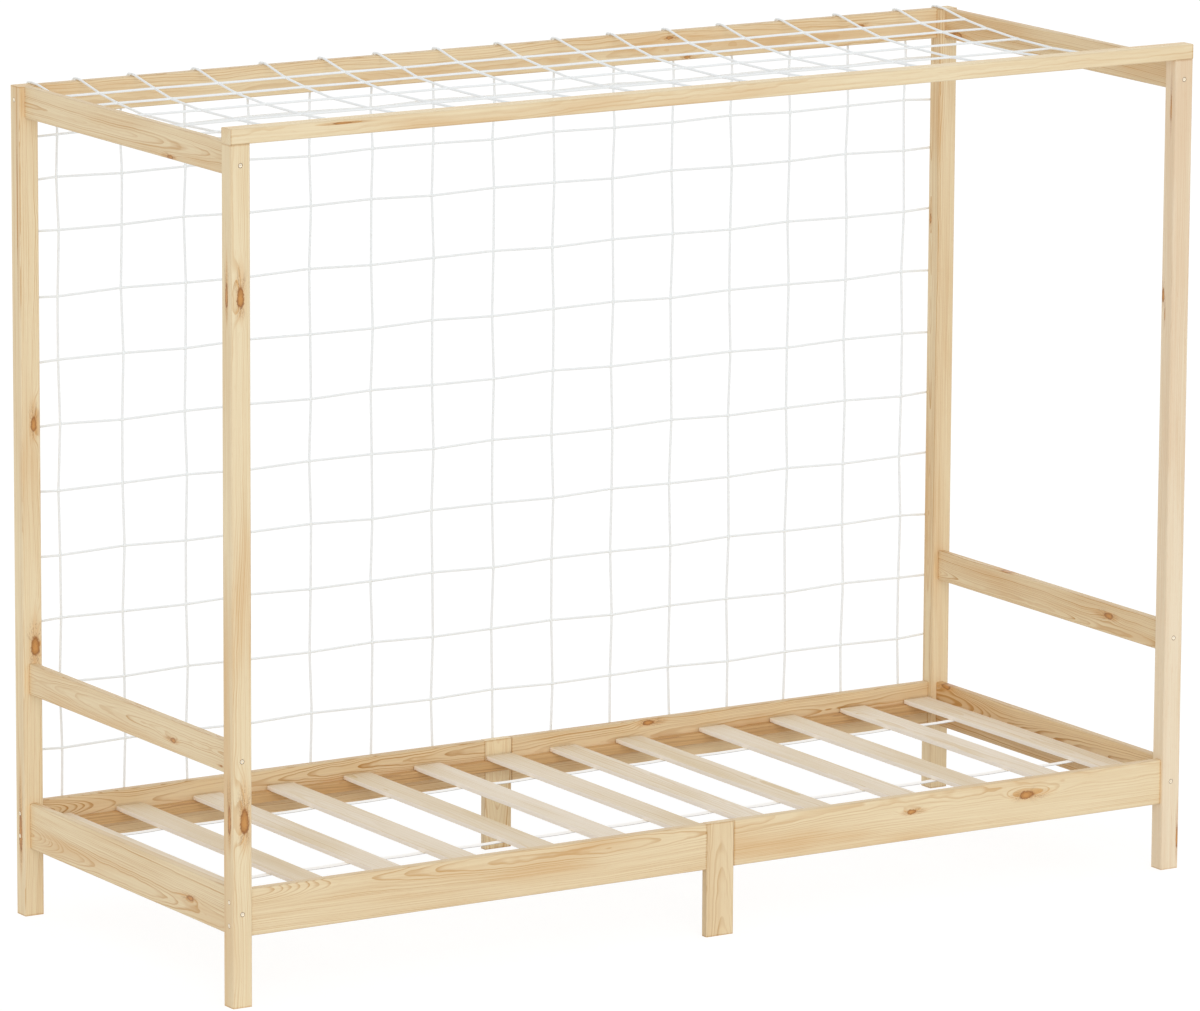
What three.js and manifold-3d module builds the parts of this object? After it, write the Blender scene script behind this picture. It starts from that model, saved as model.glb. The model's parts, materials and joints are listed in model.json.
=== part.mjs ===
// Kids bed in the form of a football goal: four tall posts, a crossbar over the two front posts,
// rails round the top, guard rails at the ends, a slatted bed at the bottom, and a cord net that
// runs from the crossbar over the top and down the back.
// Millimetres. X runs along the length, Y from the open front (negative) to the back, Z up.
// The origin is on the floor under the middle of the bed.
import * as THREE from 'three';
import { mergeVertices } from 'three/addons/utils/BufferGeometryUtils.js';
import Module from 'manifold-3d';

const wasm = await Module();
wasm.setup();

// Outside of the frame
const LENGTH = 2060;
const WIDTH = 814;

// Posts and crossbar
const POST_WIDTH = 39;
const POST_DEPTH = 33;
const POST_HEIGHT = 1552;
const CROSSBAR_HEIGHT = 28;

// Boards
const BOARD_THICKNESS = 16;
const SIDE_BOARD_INSET = 6;
const EASED_EDGE = 1.5;
const TOP_RAIL_HEIGHT = 58;
const GUARD_RAIL_HEIGHT = 58;
const GUARD_RAIL_BOTTOM = 420;
const BED_RAIL_HEIGHT = 86;
const BED_RAIL_BOTTOM = 128;
const LEG_WIDTH = 59;

// Ledgers that carry the slats
const LEDGER_THICKNESS = 18;
const LEDGER_HEIGHT = 20;
const LEDGER_BELOW_RAIL_TOP = 38;
const LEDGER_END_GAP = 2;

// Slats and the two tapes under them. Each slat was laid by hand, a little off its even place.
const SLAT_WIDTH = 58;
const SLAT_THICKNESS = 9;
const SLAT_END_GAP = 4.5;
const SLAT_POST_GAP = 2.5;
const SLAT_SHIFTS = [0, -5, -1, -2, 4, -1, 0, -18, -29, 1, 5, 9, 0];
const SLAT_SEAT_GAP = 0.3;
const TAPE_WIDTH = 16;
const TAPE_THICKNESS = 1.5;
const TAPE_FROM_FRONT = 220;
const TAPE_FROM_BACK = 190;

// Bolts through the posts, each screwed into a threaded sleeve in the end of a board
const BOLT_RADIUS = 3;
const BOLT_HEAD_RADIUS = 4.5;
const BOLT_HEAD_HEIGHT = 2.2;
const SOCKET_RADIUS = 2.3;
const SOCKET_DEPTH = 1.5;
const SLEEVE_RADIUS = 5;
const SLEEVE_LENGTH = 14;
const FIT = 0.3;
const BED_BOLT_SPACING = 43;
const TOP_END_BOLT_DROP = 37;
const TOP_BACK_BOLT_DROP = 26;

// Dowels, glued into the piece that carries them and loose in the other
const DOWEL_RADIUS = 4;
const DOWEL_DEPTH = 12;
const END_BOARD_DOWEL_OFFSET = 29;
const TOP_END_DOWEL_DROP = 17;
const TOP_BACK_DOWEL_DROP = 44;
const GUARD_DOWEL_OFFSET = 17;
const LEG_DOWEL_RADIUS = 3;
const LEG_DOWEL_OFFSET = 21;
const CROSSBAR_DOWELS_FROM_END = [11, 28];

// Net: a cord net of even mesh, with its rows bunched and its columns drawn in a little where it
// crosses the back rail. From the last bunched row the rows are even, on the back down to the bed
// rails and on top as far as the crossbar.
const CORD_RADIUS = 2.25;
const NET_CLEARANCE = 0.45;
const NET_COLUMNS = 17;
const NET_SPLIT_GAP = 0.3;
const BACK_PITCH = 133.3;
const BACK_BORDER_FROM_END = 22;
const TOP_BORDER_FROM_END = 36;
const RAIL_CROSSING_SHIFTS = [0, -29, -40, -30, -11, -10, -16, -11, 0, 2, 0, 0, -1, 9, 17, 32, 0];
const BACK_BUNCHED_ROWS = [19, 99, 180, 276];
const BACK_EVEN_ROWS = 9;
const NET_BOTTOM_OVER_RAIL_BOTTOM = 55;
const TOP_BUNCHED_ROWS = [112, 187, 290];
const TOP_EVEN_ROWS = 4;
const TOP_SAG = 31;
const TOP_DRIFT = -13;
const TOP_DRIFT_REACH = 0.55;
const CROSSBAR_ROW_RISE = 6;
const NET_WAVE = 2.5;
const WAVE_ACROSS = 1.7;
const WAVE_ALONG = 2.3;

// Faces round a bolt, a dowel and their holes, and round a bolt's socket
const ROUND_SIDES = 8;
const SOCKET_SIDES = 6;

// Colours and finishes
const PINE = new THREE.MeshStandardMaterial({ color: 0xdcbf93, roughness: 0.6 });
const PALE_PINE = new THREE.MeshStandardMaterial({ color: 0xe4d8c3, roughness: 0.7 });
const STEEL = new THREE.MeshStandardMaterial({ color: 0xcfcdc8, roughness: 0.35, metalness: 0.9 });
const CORD = new THREE.MeshStandardMaterial({ color: 0xf3f2ef, roughness: 0.9 });
const TAPE = new THREE.MeshStandardMaterial({ color: 0xf2eee6, roughness: 0.9 });

// Places that follow from the sizes above
const HALF_LENGTH = LENGTH / 2;
const HALF_WIDTH = WIDTH / 2;
const POST_X = HALF_LENGTH - POST_WIDTH / 2;
const POST_Y = HALF_WIDTH - POST_DEPTH / 2;
const INNER_X = HALF_LENGTH - POST_WIDTH;
const INNER_Y = HALF_WIDTH - POST_DEPTH;
const SIDE_BOARD_Y = HALF_WIDTH - SIDE_BOARD_INSET - BOARD_THICKNESS / 2;
const SIDE_BOARD_INNER_Y = SIDE_BOARD_Y - BOARD_THICKNESS / 2;
const BED_RAIL_TOP = BED_RAIL_BOTTOM + BED_RAIL_HEIGHT;
const BED_RAIL_Z = BED_RAIL_BOTTOM + BED_RAIL_HEIGHT / 2;
const GUARD_RAIL_Z = GUARD_RAIL_BOTTOM + GUARD_RAIL_HEIGHT / 2;
const TOP_RAIL_Z = POST_HEIGHT - TOP_RAIL_HEIGHT / 2;
const LEDGER_TOP = BED_RAIL_TOP - LEDGER_BELOW_RAIL_TOP;
const LEDGER_Z = LEDGER_TOP - LEDGER_HEIGHT / 2;
const LEDGER_Y = SIDE_BOARD_INNER_Y - LEDGER_THICKNESS / 2;
const LEDGER_LENGTH = 2 * (INNER_X - LEDGER_END_GAP);
const SLAT_BOTTOM = LEDGER_TOP + SLAT_SEAT_GAP;
const SLAT_LENGTH = 2 * (SIDE_BOARD_INNER_Y - SLAT_END_GAP);
const FIRST_SLAT_X = -(INNER_X - SLAT_POST_GAP - SLAT_WIDTH / 2);
const SLAT_PITCH = (-2 * FIRST_SLAT_X) / (SLAT_SHIFTS.length - 1);

const AXES = {
  x: new THREE.Vector3(1, 0, 0),
  y: new THREE.Vector3(0, 1, 0),
  z: new THREE.Vector3(0, 0, 1),
};
const SIDES = [['left', -1], ['right', 1]];
const DEPTHS = [['front', -1], ['rear', 1]];

const bed = new THREE.Group();

function addMesh(name, geometry, material, centre = new THREE.Vector3()) {
  const mesh = new THREE.Mesh(geometry, material);
  mesh.name = name;
  mesh.position.copy(centre);
  bed.add(mesh);
  return mesh;
}

// Booleans
function toSolid(geometry) {
  const bare = geometry.clone();
  bare.deleteAttribute('normal');
  bare.deleteAttribute('uv');
  const merged = mergeVertices(bare);
  return new wasm.Manifold(new wasm.Mesh({
    numProp: 3,
    vertProperties: new Float32Array(merged.attributes.position.array),
    triVerts: new Uint32Array(merged.index.array),
  }));
}

function toGeometry(solid) {
  const mesh = solid.getMesh();
  const geometry = new THREE.BufferGeometry();
  geometry.setAttribute('position', new THREE.BufferAttribute(mesh.vertProperties, 3));
  geometry.setIndex(new THREE.BufferAttribute(mesh.triVerts, 1));
  const flat = geometry.toNonIndexed();
  flat.computeVertexNormals();
  return flat;
}

function shaped(geometry, joined, removed) {
  let solid = toSolid(geometry);
  for (const piece of joined) {
    solid = solid.add(toSolid(piece));
  }
  for (const piece of removed) {
    solid = solid.subtract(toSolid(piece));
  }
  return toGeometry(solid);
}

// A board whose four long edges are eased. Its section is drawn across the grain and extruded
// along it, and the board is centred on its own origin.
function board(grain, along, across, up) {
  const e = EASED_EDGE;
  const u = across / 2;
  const v = up / 2;
  const section = new THREE.Shape();
  section.moveTo(-u + e, -v);
  section.lineTo(u - e, -v);
  section.lineTo(u, -v + e);
  section.lineTo(u, v - e);
  section.lineTo(u - e, v);
  section.lineTo(-u + e, v);
  section.lineTo(-u, v - e);
  section.lineTo(-u, -v + e);
  section.closePath();
  const geometry = new THREE.ExtrudeGeometry(section, { depth: along, bevelEnabled: false });
  geometry.translate(0, 0, -along / 2);
  const turns = {
    x: new THREE.Matrix4().makeBasis(AXES.y, AXES.z, AXES.x),
    y: new THREE.Matrix4().makeBasis(AXES.z, AXES.x, AXES.y),
    z: new THREE.Matrix4(),
  };
  return geometry.applyMatrix4(turns[grain]);
}

// Turned shapes: a profile of [radius, distance] pairs spun about the line that starts at a
// point and runs in a direction.
function turned(profile, start, direction, sides = ROUND_SIDES) {
  const points = profile.map(([radius, distance]) => new THREE.Vector2(radius, distance));
  const geometry = new THREE.LatheGeometry(points, sides);
  const turn = new THREE.Quaternion().setFromUnitVectors(AXES.y, direction);
  geometry.applyQuaternion(turn);
  geometry.translate(start.x, start.y, start.z);
  return geometry;
}

function rod(radius, start, direction, length, sides = ROUND_SIDES) {
  return turned([[0, 0], [radius, 0], [radius, length], [0, length]], start, direction, sides);
}

// Fasteners. Each is written once, as a place and a direction, and the fastener and the holes
// that it needs are all made from that.
const bolts = [];
const dowels = [];

function addBolt(name, x, y, z, direction, throughPost) {
  bolts.push({ name: `bolt_${name}`, head: new THREE.Vector3(x, y, z), direction, throughPost });
}

function addDowel(carrier, x, y, z, direction, radius = DOWEL_RADIUS) {
  dowels.push({ carrier, centre: new THREE.Vector3(x, y, z), direction, radius });
}

for (const [sideName, sx] of SIDES) {
  const inwardX = AXES.x.clone().multiplyScalar(-sx);
  for (const [depthName, sy] of DEPTHS) {
    const corner = `${depthName}_${sideName}`;
    const inwardY = AXES.y.clone().multiplyScalar(-sy);
    const endHeights = {
      end_board: [BED_RAIL_Z, [BED_RAIL_Z - END_BOARD_DOWEL_OFFSET, BED_RAIL_Z + END_BOARD_DOWEL_OFFSET]],
      guard_rail: [GUARD_RAIL_Z, [GUARD_RAIL_Z - GUARD_DOWEL_OFFSET]],
      top_end_rail: [POST_HEIGHT - TOP_END_BOLT_DROP, [POST_HEIGHT - TOP_END_DOWEL_DROP]],
    };
    for (const [name, [boltZ, dowelHeights]] of Object.entries(endHeights)) {
      addBolt(`${name}_${corner}`, sx * POST_X, sy * HALF_WIDTH, boltZ, inwardY, POST_DEPTH);
      for (const z of dowelHeights) {
        addDowel(`${name}_${sideName}`, sx * POST_X, sy * INNER_Y, z, inwardY);
      }
    }
    for (const [level, up] of [['lower', -1], ['upper', 1]]) {
      const boltZ = BED_RAIL_Z + (up * BED_BOLT_SPACING) / 2;
      addBolt(`side_rail_${corner}_${level}`, sx * HALF_LENGTH, sy * SIDE_BOARD_Y, boltZ, inwardX,
        POST_WIDTH);
      addDowel(`centre_leg_${depthName}`, (sx * LEG_WIDTH) / 2, sy * SIDE_BOARD_Y,
        BED_RAIL_Z + up * LEG_DOWEL_OFFSET, inwardX, LEG_DOWEL_RADIUS);
    }
  }
  addBolt(`rear_top_rail_${sideName}`, sx * HALF_LENGTH, SIDE_BOARD_Y,
    POST_HEIGHT - TOP_BACK_BOLT_DROP, inwardX, POST_WIDTH);
  addDowel('rear_top_rail', sx * INNER_X, SIDE_BOARD_Y, POST_HEIGHT - TOP_BACK_DOWEL_DROP, inwardX);
  for (const fromEnd of CROSSBAR_DOWELS_FROM_END) {
    addDowel('front_crossbar', sx * (HALF_LENGTH - fromEnd), -POST_Y, POST_HEIGHT, AXES.z);
  }
}

// The room a bolt needs: a wide mouth for its head and a bore for its shank in the post, and a
// seat for its sleeve in the board.
function boltHoles({ head, direction, throughPost }) {
  const outside = head.clone().addScaledVector(direction, -FIT);
  const mouth = BOLT_HEAD_HEIGHT + 2 * FIT;
  const seat = FIT + throughPost;
  const bottom = seat + SLEEVE_LENGTH + 2 * FIT;
  return turned([
    [0, 0],
    [BOLT_HEAD_RADIUS + FIT, 0],
    [BOLT_HEAD_RADIUS + FIT, mouth],
    [BOLT_RADIUS + FIT, mouth],
    [BOLT_RADIUS + FIT, seat],
    [SLEEVE_RADIUS + FIT, seat],
    [SLEEVE_RADIUS + FIT, bottom],
    [0, bottom],
  ], outside, direction);
}

function dowelRod({ centre, direction, radius }, room) {
  const reach = DOWEL_DEPTH + room;
  return rod(radius + room, centre.clone().addScaledVector(direction, -reach), direction, 2 * reach);
}

const holes = [
  ...bolts.map((bolt) => ({ carrier: bolt.name, shape: boltHoles(bolt) })),
  ...dowels.map((dowel) => ({ carrier: dowel.carrier, shape: dowelRod(dowel, FIT) })),
];

// A board in its place, with the dowels that it carries and every hole that reaches into it.
function addBoard(name, grain, size, centre, material = PINE) {
  const [along, across, up] = size;
  const geometry = board(grain, along, across, up);
  geometry.translate(centre.x, centre.y, centre.z);
  geometry.computeBoundingBox();
  const carried = dowels.filter(({ carrier }) => carrier === name).map((dowel) => dowelRod(dowel, 0));
  const removed = holes.filter(({ carrier }) => carrier !== name).map(({ shape }) => shape)
    .filter((shape) => {
      shape.computeBoundingBox();
      return shape.boundingBox.intersectsBox(geometry.boundingBox);
    });
  const finished = shaped(geometry, carried, removed);
  finished.translate(-centre.x, -centre.y, -centre.z);
  addMesh(name, finished, material, centre);
}

// Posts
for (const [depthName, sy] of DEPTHS) {
  for (const [sideName, sx] of SIDES) {
    addBoard(`post_${depthName}_${sideName}`, 'z', [POST_HEIGHT, POST_WIDTH, POST_DEPTH],
      new THREE.Vector3(sx * POST_X, sy * POST_Y, POST_HEIGHT / 2));
  }
}

// Crossbar over the front posts, flush with them all round
addBoard('front_crossbar', 'x', [LENGTH, POST_DEPTH, CROSSBAR_HEIGHT],
  new THREE.Vector3(0, -POST_Y, POST_HEIGHT + CROSSBAR_HEIGHT / 2));

// Back rail at the top, between the rear posts
addBoard('rear_top_rail', 'x', [2 * INNER_X, BOARD_THICKNESS, TOP_RAIL_HEIGHT],
  new THREE.Vector3(0, SIDE_BOARD_Y, TOP_RAIL_Z));

// End rails and boards, between a front and a rear post
const endBoards = [
  ['top_end_rail', TOP_RAIL_HEIGHT, TOP_RAIL_Z],
  ['guard_rail', GUARD_RAIL_HEIGHT, GUARD_RAIL_Z],
  ['end_board', BED_RAIL_HEIGHT, BED_RAIL_Z],
];
for (const [name, height, z] of endBoards) {
  for (const [sideName, sx] of SIDES) {
    addBoard(`${name}_${sideName}`, 'y', [2 * INNER_Y, height, BOARD_THICKNESS],
      new THREE.Vector3(sx * POST_X, 0, z));
  }
}

// Side rails of the bed: two lengths a side, with a centre leg between them
const SIDE_RAIL_LENGTH = INNER_X - LEG_WIDTH / 2;
for (const [depthName, sy] of DEPTHS) {
  for (const [sideName, sx] of SIDES) {
    const x = sx * (LEG_WIDTH / 2 + SIDE_RAIL_LENGTH / 2);
    addBoard(`side_rail_${depthName}_${sideName}`, 'x',
      [SIDE_RAIL_LENGTH, BOARD_THICKNESS, BED_RAIL_HEIGHT],
      new THREE.Vector3(x, sy * SIDE_BOARD_Y, BED_RAIL_Z));
  }
  addBoard(`centre_leg_${depthName}`, 'z', [BED_RAIL_TOP, LEG_WIDTH, BOARD_THICKNESS],
    new THREE.Vector3(0, sy * SIDE_BOARD_Y, BED_RAIL_TOP / 2));
  addBoard(`ledger_${depthName}`, 'x', [LEDGER_LENGTH, LEDGER_THICKNESS, LEDGER_HEIGHT],
    new THREE.Vector3(0, sy * LEDGER_Y, LEDGER_Z));
}

// Slats
SLAT_SHIFTS.forEach((shift, k) => {
  const x = FIRST_SLAT_X + SLAT_PITCH * k + shift;
  const name = `slat_${String(k + 1).padStart(2, '0')}`;
  addBoard(name, 'y', [SLAT_LENGTH, SLAT_THICKNESS, SLAT_WIDTH],
    new THREE.Vector3(x, 0, SLAT_BOTTOM + SLAT_THICKNESS / 2), PALE_PINE);
});

// Tapes that hold the slats in a roll
const tapePlaces = [['front', -HALF_WIDTH + TAPE_FROM_FRONT], ['rear', HALF_WIDTH - TAPE_FROM_BACK]];
for (const [name, y] of tapePlaces) {
  const length = -2 * FIRST_SLAT_X + SLAT_WIDTH;
  const z = SLAT_BOTTOM - SLAT_SEAT_GAP - TAPE_THICKNESS / 2;
  addMesh(`slat_tape_${name}`, new THREE.BoxGeometry(length, TAPE_WIDTH, TAPE_THICKNESS), TAPE,
    new THREE.Vector3(0, y, z));
}

// Bolts: a low round head with a hexagon socket, a shank, and the sleeve screwed onto its end
for (const { name, head, direction, throughPost } of bolts) {
  const sleeveStart = throughPost + FIT;
  const body = turned([
    [0, 0],
    [BOLT_HEAD_RADIUS, 0],
    [BOLT_HEAD_RADIUS, BOLT_HEAD_HEIGHT],
    [BOLT_RADIUS, BOLT_HEAD_HEIGHT],
    [BOLT_RADIUS, sleeveStart],
    [SLEEVE_RADIUS, sleeveStart],
    [SLEEVE_RADIUS, sleeveStart + SLEEVE_LENGTH],
    [0, sleeveStart + SLEEVE_LENGTH],
  ], head, direction);
  const outside = head.clone().addScaledVector(direction, -SOCKET_DEPTH);
  const socket = rod(SOCKET_RADIUS, outside, direction, 2 * SOCKET_DEPTH, SOCKET_SIDES);
  addMesh(name, shaped(body, [], [socket]), STEEL);
}

// Net. A sheet of net is a grid of stations: columns run along it and rows cross them. The cord
// has a six-sided section, with a ridge on each face of the sheet, and each gap between cords
// has its own four walls, so that crossings are joined as knots are.
const CORD_SIDES = 6;
const RIDGE = CORD_RADIUS;
const FLANK = CORD_RADIUS * Math.cos(Math.PI / CORD_SIDES);
const FLANK_HEIGHT = CORD_RADIUS * Math.sin(Math.PI / CORD_SIDES);

function netGeometry(stations, place) {
  const lastColumn = NET_COLUMNS - 1;
  const lastStation = stations.length - 1;
  const grid = [];
  for (let i = 0; i <= lastColumn; i += 1) {
    grid.push(stations.map((station, j) => place(i, j)));
  }
  const frames = grid.map((column) => column.map((point, j) => {
    const before = column[Math.max(j - 1, 0)];
    const after = column[Math.min(j + 1, lastStation)];
    const run = after.clone().sub(before).normalize();
    const normal = AXES.x.clone().cross(run).normalize();
    return { point, run, normal };
  }));
  const corner = (i, j, a, b, height) => {
    const { point, run, normal } = frames[i][j];
    return point.clone().addScaledVector(AXES.x, a * FLANK).addScaledVector(run, b * FLANK)
      .addScaledVector(normal, height);
  };
  const positions = [];
  const quad = (p, q, r, s, flip) => {
    const order = flip ? [p, s, r, p, r, q] : [p, q, r, p, r, s];
    for (const v of order) {
      positions.push(v.x, v.y, v.z);
    }
  };
  // Four lines along a wall, from the ridge on one face of the sheet to the ridge on the other
  const lines = (i, j, a, b) => [
    corner(i, j, 0, 0, RIDGE),
    corner(i, j, a, b, FLANK_HEIGHT),
    corner(i, j, a, b, -FLANK_HEIGHT),
    corner(i, j, 0, 0, -RIDGE),
  ];
  const wall = (from, to, flip) => {
    for (let k = 0; k < from.length - 1; k += 1) {
      quad(from[k], from[k + 1], to[k + 1], to[k], flip);
    }
  };
  const columnSide = (i, j, a, b) => {
    const neighbour = a < 0 ? i > 0 : i < lastColumn;
    if (!stations[j].row) {
      return lines(i, j, a, 0);
    }
    if (neighbour) {
      return lines(i, j, a, b);
    }
    const edge = (j === lastStation ? 1 : 0) - (j === 0 ? 1 : 0);
    return lines(i, j, a, edge);
  };
  const rowSide = (i, j, b, step) => {
    const band = b < 0 ? j > 0 : j < lastStation;
    if (band) {
      return lines(i, j, step, b);
    }
    const edge = (i === lastColumn ? 1 : 0) - (i === 0 ? 1 : 0);
    return lines(i, j, edge, b);
  };
  for (let i = 0; i <= lastColumn; i += 1) {
    for (let j = 0; j < lastStation; j += 1) {
      wall(columnSide(i, j, 1, 1), columnSide(i, j + 1, 1, -1), false);
      wall(columnSide(i, j, -1, 1), columnSide(i, j + 1, -1, -1), true);
    }
  }
  stations.forEach((station, j) => {
    if (!station.row) {
      return;
    }
    for (let i = 0; i < lastColumn; i += 1) {
      wall(rowSide(i, j, 1, 1), rowSide(i + 1, j, 1, -1), true);
      wall(rowSide(i, j, -1, 1), rowSide(i + 1, j, -1, -1), false);
    }
  });
  // Cut ends of the columns, where a sheet has no row at its first or last station
  for (const [j, flip] of [[0, true], [lastStation, false]]) {
    if (!stations[j].row) {
      for (let i = 0; i <= lastColumn; i += 1) {
        const near = lines(i, j, 1, 0);
        const far = lines(i, j, -1, 0);
        quad(near[0], near[1], near[2], near[3], flip);
        quad(near[0], near[3], far[2], far[1], flip);
      }
    }
  }
  const geometry = new THREE.BufferGeometry();
  geometry.setAttribute('position', new THREE.Float32BufferAttribute(positions, 3));
  const merged = mergeVertices(geometry).toNonIndexed();
  merged.computeVertexNormals();
  return merged;
}

const MIDDLE_COLUMN = (NET_COLUMNS - 1) / 2;
const CORD_OFFSET = CORD_RADIUS + NET_CLEARANCE;
const CROSSING_Z = POST_HEIGHT + CORD_OFFSET;
const NET_BACK_Y = HALF_WIDTH + CORD_OFFSET;
const SPLIT_Y = SIDE_BOARD_Y;
const TOP_START_Y = SIDE_BOARD_INNER_Y - FIT;
const TOP_BORDER_START_Y = INNER_Y - CORD_OFFSET;
const TOP_END_Y = -(INNER_Y - CORD_OFFSET);

function isBorder(i) {
  return i === 0 || i === NET_COLUMNS - 1;
}

function wave(i, j) {
  return NET_WAVE * Math.sin(WAVE_ACROSS * i + WAVE_ALONG * j);
}

// Distances of rows: the bunched ones, then even ones that end at a given distance
function rowDistances(bunched, even, end) {
  const start = bunched[bunched.length - 1];
  const evenRows = Array.from({ length: even }, (_, k) => start + ((end - start) * (k + 1)) / even);
  return [...bunched, ...evenRows];
}

function crossingX(i) {
  const pitch = (HALF_LENGTH - TOP_BORDER_FROM_END) / MIDDLE_COLUMN;
  return (i - MIDDLE_COLUMN) * pitch + RAIL_CROSSING_SHIFTS[i];
}

function backX(i) {
  const side = Math.sign(i - MIDDLE_COLUMN);
  return isBorder(i) ? side * (HALF_LENGTH - BACK_BORDER_FROM_END) : (i - MIDDLE_COLUMN) * BACK_PITCH;
}

// Back sheet: over the outer half of the rail, round its edge, and straight down. Its columns have
// spread to their even pitch where they pass the rail's lower edge, behind its first row.
const backRows = rowDistances(BACK_BUNCHED_ROWS, BACK_EVEN_ROWS,
  POST_HEIGHT - BED_RAIL_BOTTOM - NET_BOTTOM_OVER_RAIL_BOTTOM);
const backStation = (drop, row) => ({ y: NET_BACK_Y, z: POST_HEIGHT - drop, row });
const backStations = [
  { y: SPLIT_Y + NET_SPLIT_GAP / 2, z: CROSSING_Z },
  { y: HALF_WIDTH, z: CROSSING_Z },
  {
    y: HALF_WIDTH + CORD_OFFSET * Math.SQRT1_2,
    z: POST_HEIGHT + CORD_OFFSET * Math.SQRT1_2,
  },
  backStation(0, false),
  backStation(backRows[0], true),
  backStation(TOP_RAIL_HEIGHT, false),
  ...backRows.slice(1).map((drop) => backStation(drop, true)),
];

function backPlace(i, j) {
  const { y, z, row } = backStations[j];
  const drop = POST_HEIGHT - z;
  const spread = THREE.MathUtils.clamp(drop / TOP_RAIL_HEIGHT, 0, 1);
  const sway = isBorder(i) || !row ? 0 : wave(i, j);
  const x = THREE.MathUtils.lerp(crossingX(i), backX(i), spread) + sway;
  return new THREE.Vector3(x, y, z + (row ? wave(j, i) : 0));
}

// Top sheet: over the inner half of the rail, down in a shallow sag, and up to the crossbar, where
// its last row lies against the bar
const topRows = rowDistances(TOP_BUNCHED_ROWS, TOP_EVEN_ROWS, HALF_WIDTH - TOP_END_Y);
const topStations = [
  { y: SPLIT_Y - NET_SPLIT_GAP / 2, row: false },
  { y: TOP_START_Y, row: false },
  ...topRows.map((distance) => ({ y: HALF_WIDTH - distance, row: true })),
];

function topPlace(i, j) {
  const station = topStations[j];
  const border = isBorder(i);
  const y = border && j === 1 ? TOP_BORDER_START_Y : station.y;
  const t = THREE.MathUtils.clamp((TOP_START_Y - y) / (TOP_START_Y - TOP_END_Y), 0, 1);
  const sag = border && j < 2 ? 0 : TOP_SAG * 4 * t * (1 - t);
  const drift = border ? 0 : TOP_DRIFT * Math.sin(Math.PI * Math.min(t / TOP_DRIFT_REACH, 1));
  const last = j === topStations.length - 1;
  const free = station.row && !last;
  return new THREE.Vector3(
    crossingX(i) + drift + (free && !border ? wave(i, j) : 0),
    y + (free ? wave(j, i) : 0),
    CROSSING_Z - sag + (last ? CROSSBAR_ROW_RISE : 0),
  );
}

addMesh('net_back', netGeometry(backStations, backPlace), CORD);
addMesh('net_top', netGeometry(topStations, topPlace), CORD);

export default bed;
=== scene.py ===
"""Kids bed in the form of a football goal: pine frame, slatted bed and a cord net.

Metres. X runs along the length, Y from the open front (negative) to the back, Z up.
"""

import json
import math
from functools import partial, partialmethod
from typing import NamedTuple

import bpy
import numpy as np
from bpy.props import FloatProperty, FloatVectorProperty, IntProperty, PointerProperty
from mathutils import Matrix, Vector

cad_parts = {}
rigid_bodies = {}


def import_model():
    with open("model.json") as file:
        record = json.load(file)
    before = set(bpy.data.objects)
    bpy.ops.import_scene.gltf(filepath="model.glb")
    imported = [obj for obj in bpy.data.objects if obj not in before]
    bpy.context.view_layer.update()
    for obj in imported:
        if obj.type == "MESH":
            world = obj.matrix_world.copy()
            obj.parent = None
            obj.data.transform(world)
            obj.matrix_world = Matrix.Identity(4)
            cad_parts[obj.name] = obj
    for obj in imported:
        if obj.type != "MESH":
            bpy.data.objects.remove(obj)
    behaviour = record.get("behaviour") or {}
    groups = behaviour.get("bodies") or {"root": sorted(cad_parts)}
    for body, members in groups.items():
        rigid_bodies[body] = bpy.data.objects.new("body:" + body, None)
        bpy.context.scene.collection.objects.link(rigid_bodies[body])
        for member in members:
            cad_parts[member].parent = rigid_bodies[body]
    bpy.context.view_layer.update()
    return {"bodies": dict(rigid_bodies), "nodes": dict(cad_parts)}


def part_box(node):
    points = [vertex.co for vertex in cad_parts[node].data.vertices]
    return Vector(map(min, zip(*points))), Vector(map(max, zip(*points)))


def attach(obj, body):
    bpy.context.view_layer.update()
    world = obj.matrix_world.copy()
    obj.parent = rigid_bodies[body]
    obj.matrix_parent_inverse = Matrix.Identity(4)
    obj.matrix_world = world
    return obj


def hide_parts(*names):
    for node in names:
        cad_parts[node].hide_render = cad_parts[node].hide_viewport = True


bl_info = {
    "name": "Goal Bed",
    "version": (1, 0, 0),
    "blender": (4, 5, 0),
    "location": "View3D > Sidebar > Goal Bed",
    "description": "Finishes, net, tapes and fasteners of a pine kids bed with a goal frame",
    "category": "Object",
}

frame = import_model()

MM = 0.001
BODY = next(iter(frame["bodies"]))

# Places on the frame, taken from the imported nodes
POST_LOW, POST_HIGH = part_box("post_rear_right")
TOP_RAIL_LOW, TOP_RAIL_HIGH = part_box("rear_top_rail")
HALF_LENGTH, HALF_WIDTH, POST_HEIGHT = POST_HIGH
INNER_Y = POST_LOW.y
RAIL_INNER_Y = TOP_RAIL_LOW.y
SPLIT_Y = (TOP_RAIL_LOW.y + TOP_RAIL_HIGH.y) / 2
TOP_RAIL_HEIGHT = TOP_RAIL_HIGH.z - TOP_RAIL_LOW.z
BED_RAIL_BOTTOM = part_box("side_rail_rear_left")[0].z


def linear(red, green, blue):
    """The linear colour of an sRGB colour given in 0 to 255."""
    share = np.array([red, green, blue]) / 255
    curved = ((share + 0.055) / 1.055) ** 2.4
    return tuple(float(v) for v in np.where(share <= 0.04045, share / 12.92, curved))


def a_colour(name, description, *srgb):
    """A colour that a user can change, given in 0 to 255."""
    looks = {"default": linear(*srgb), "min": 0, "max": 1, "subtype": "COLOR"}
    return FloatVectorProperty(name=name, description=description, **looks)


def a_number(name, description, default, **looks):
    """A number that a user can change."""
    return FloatProperty(name=name, description=description, default=default, **looks)


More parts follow.
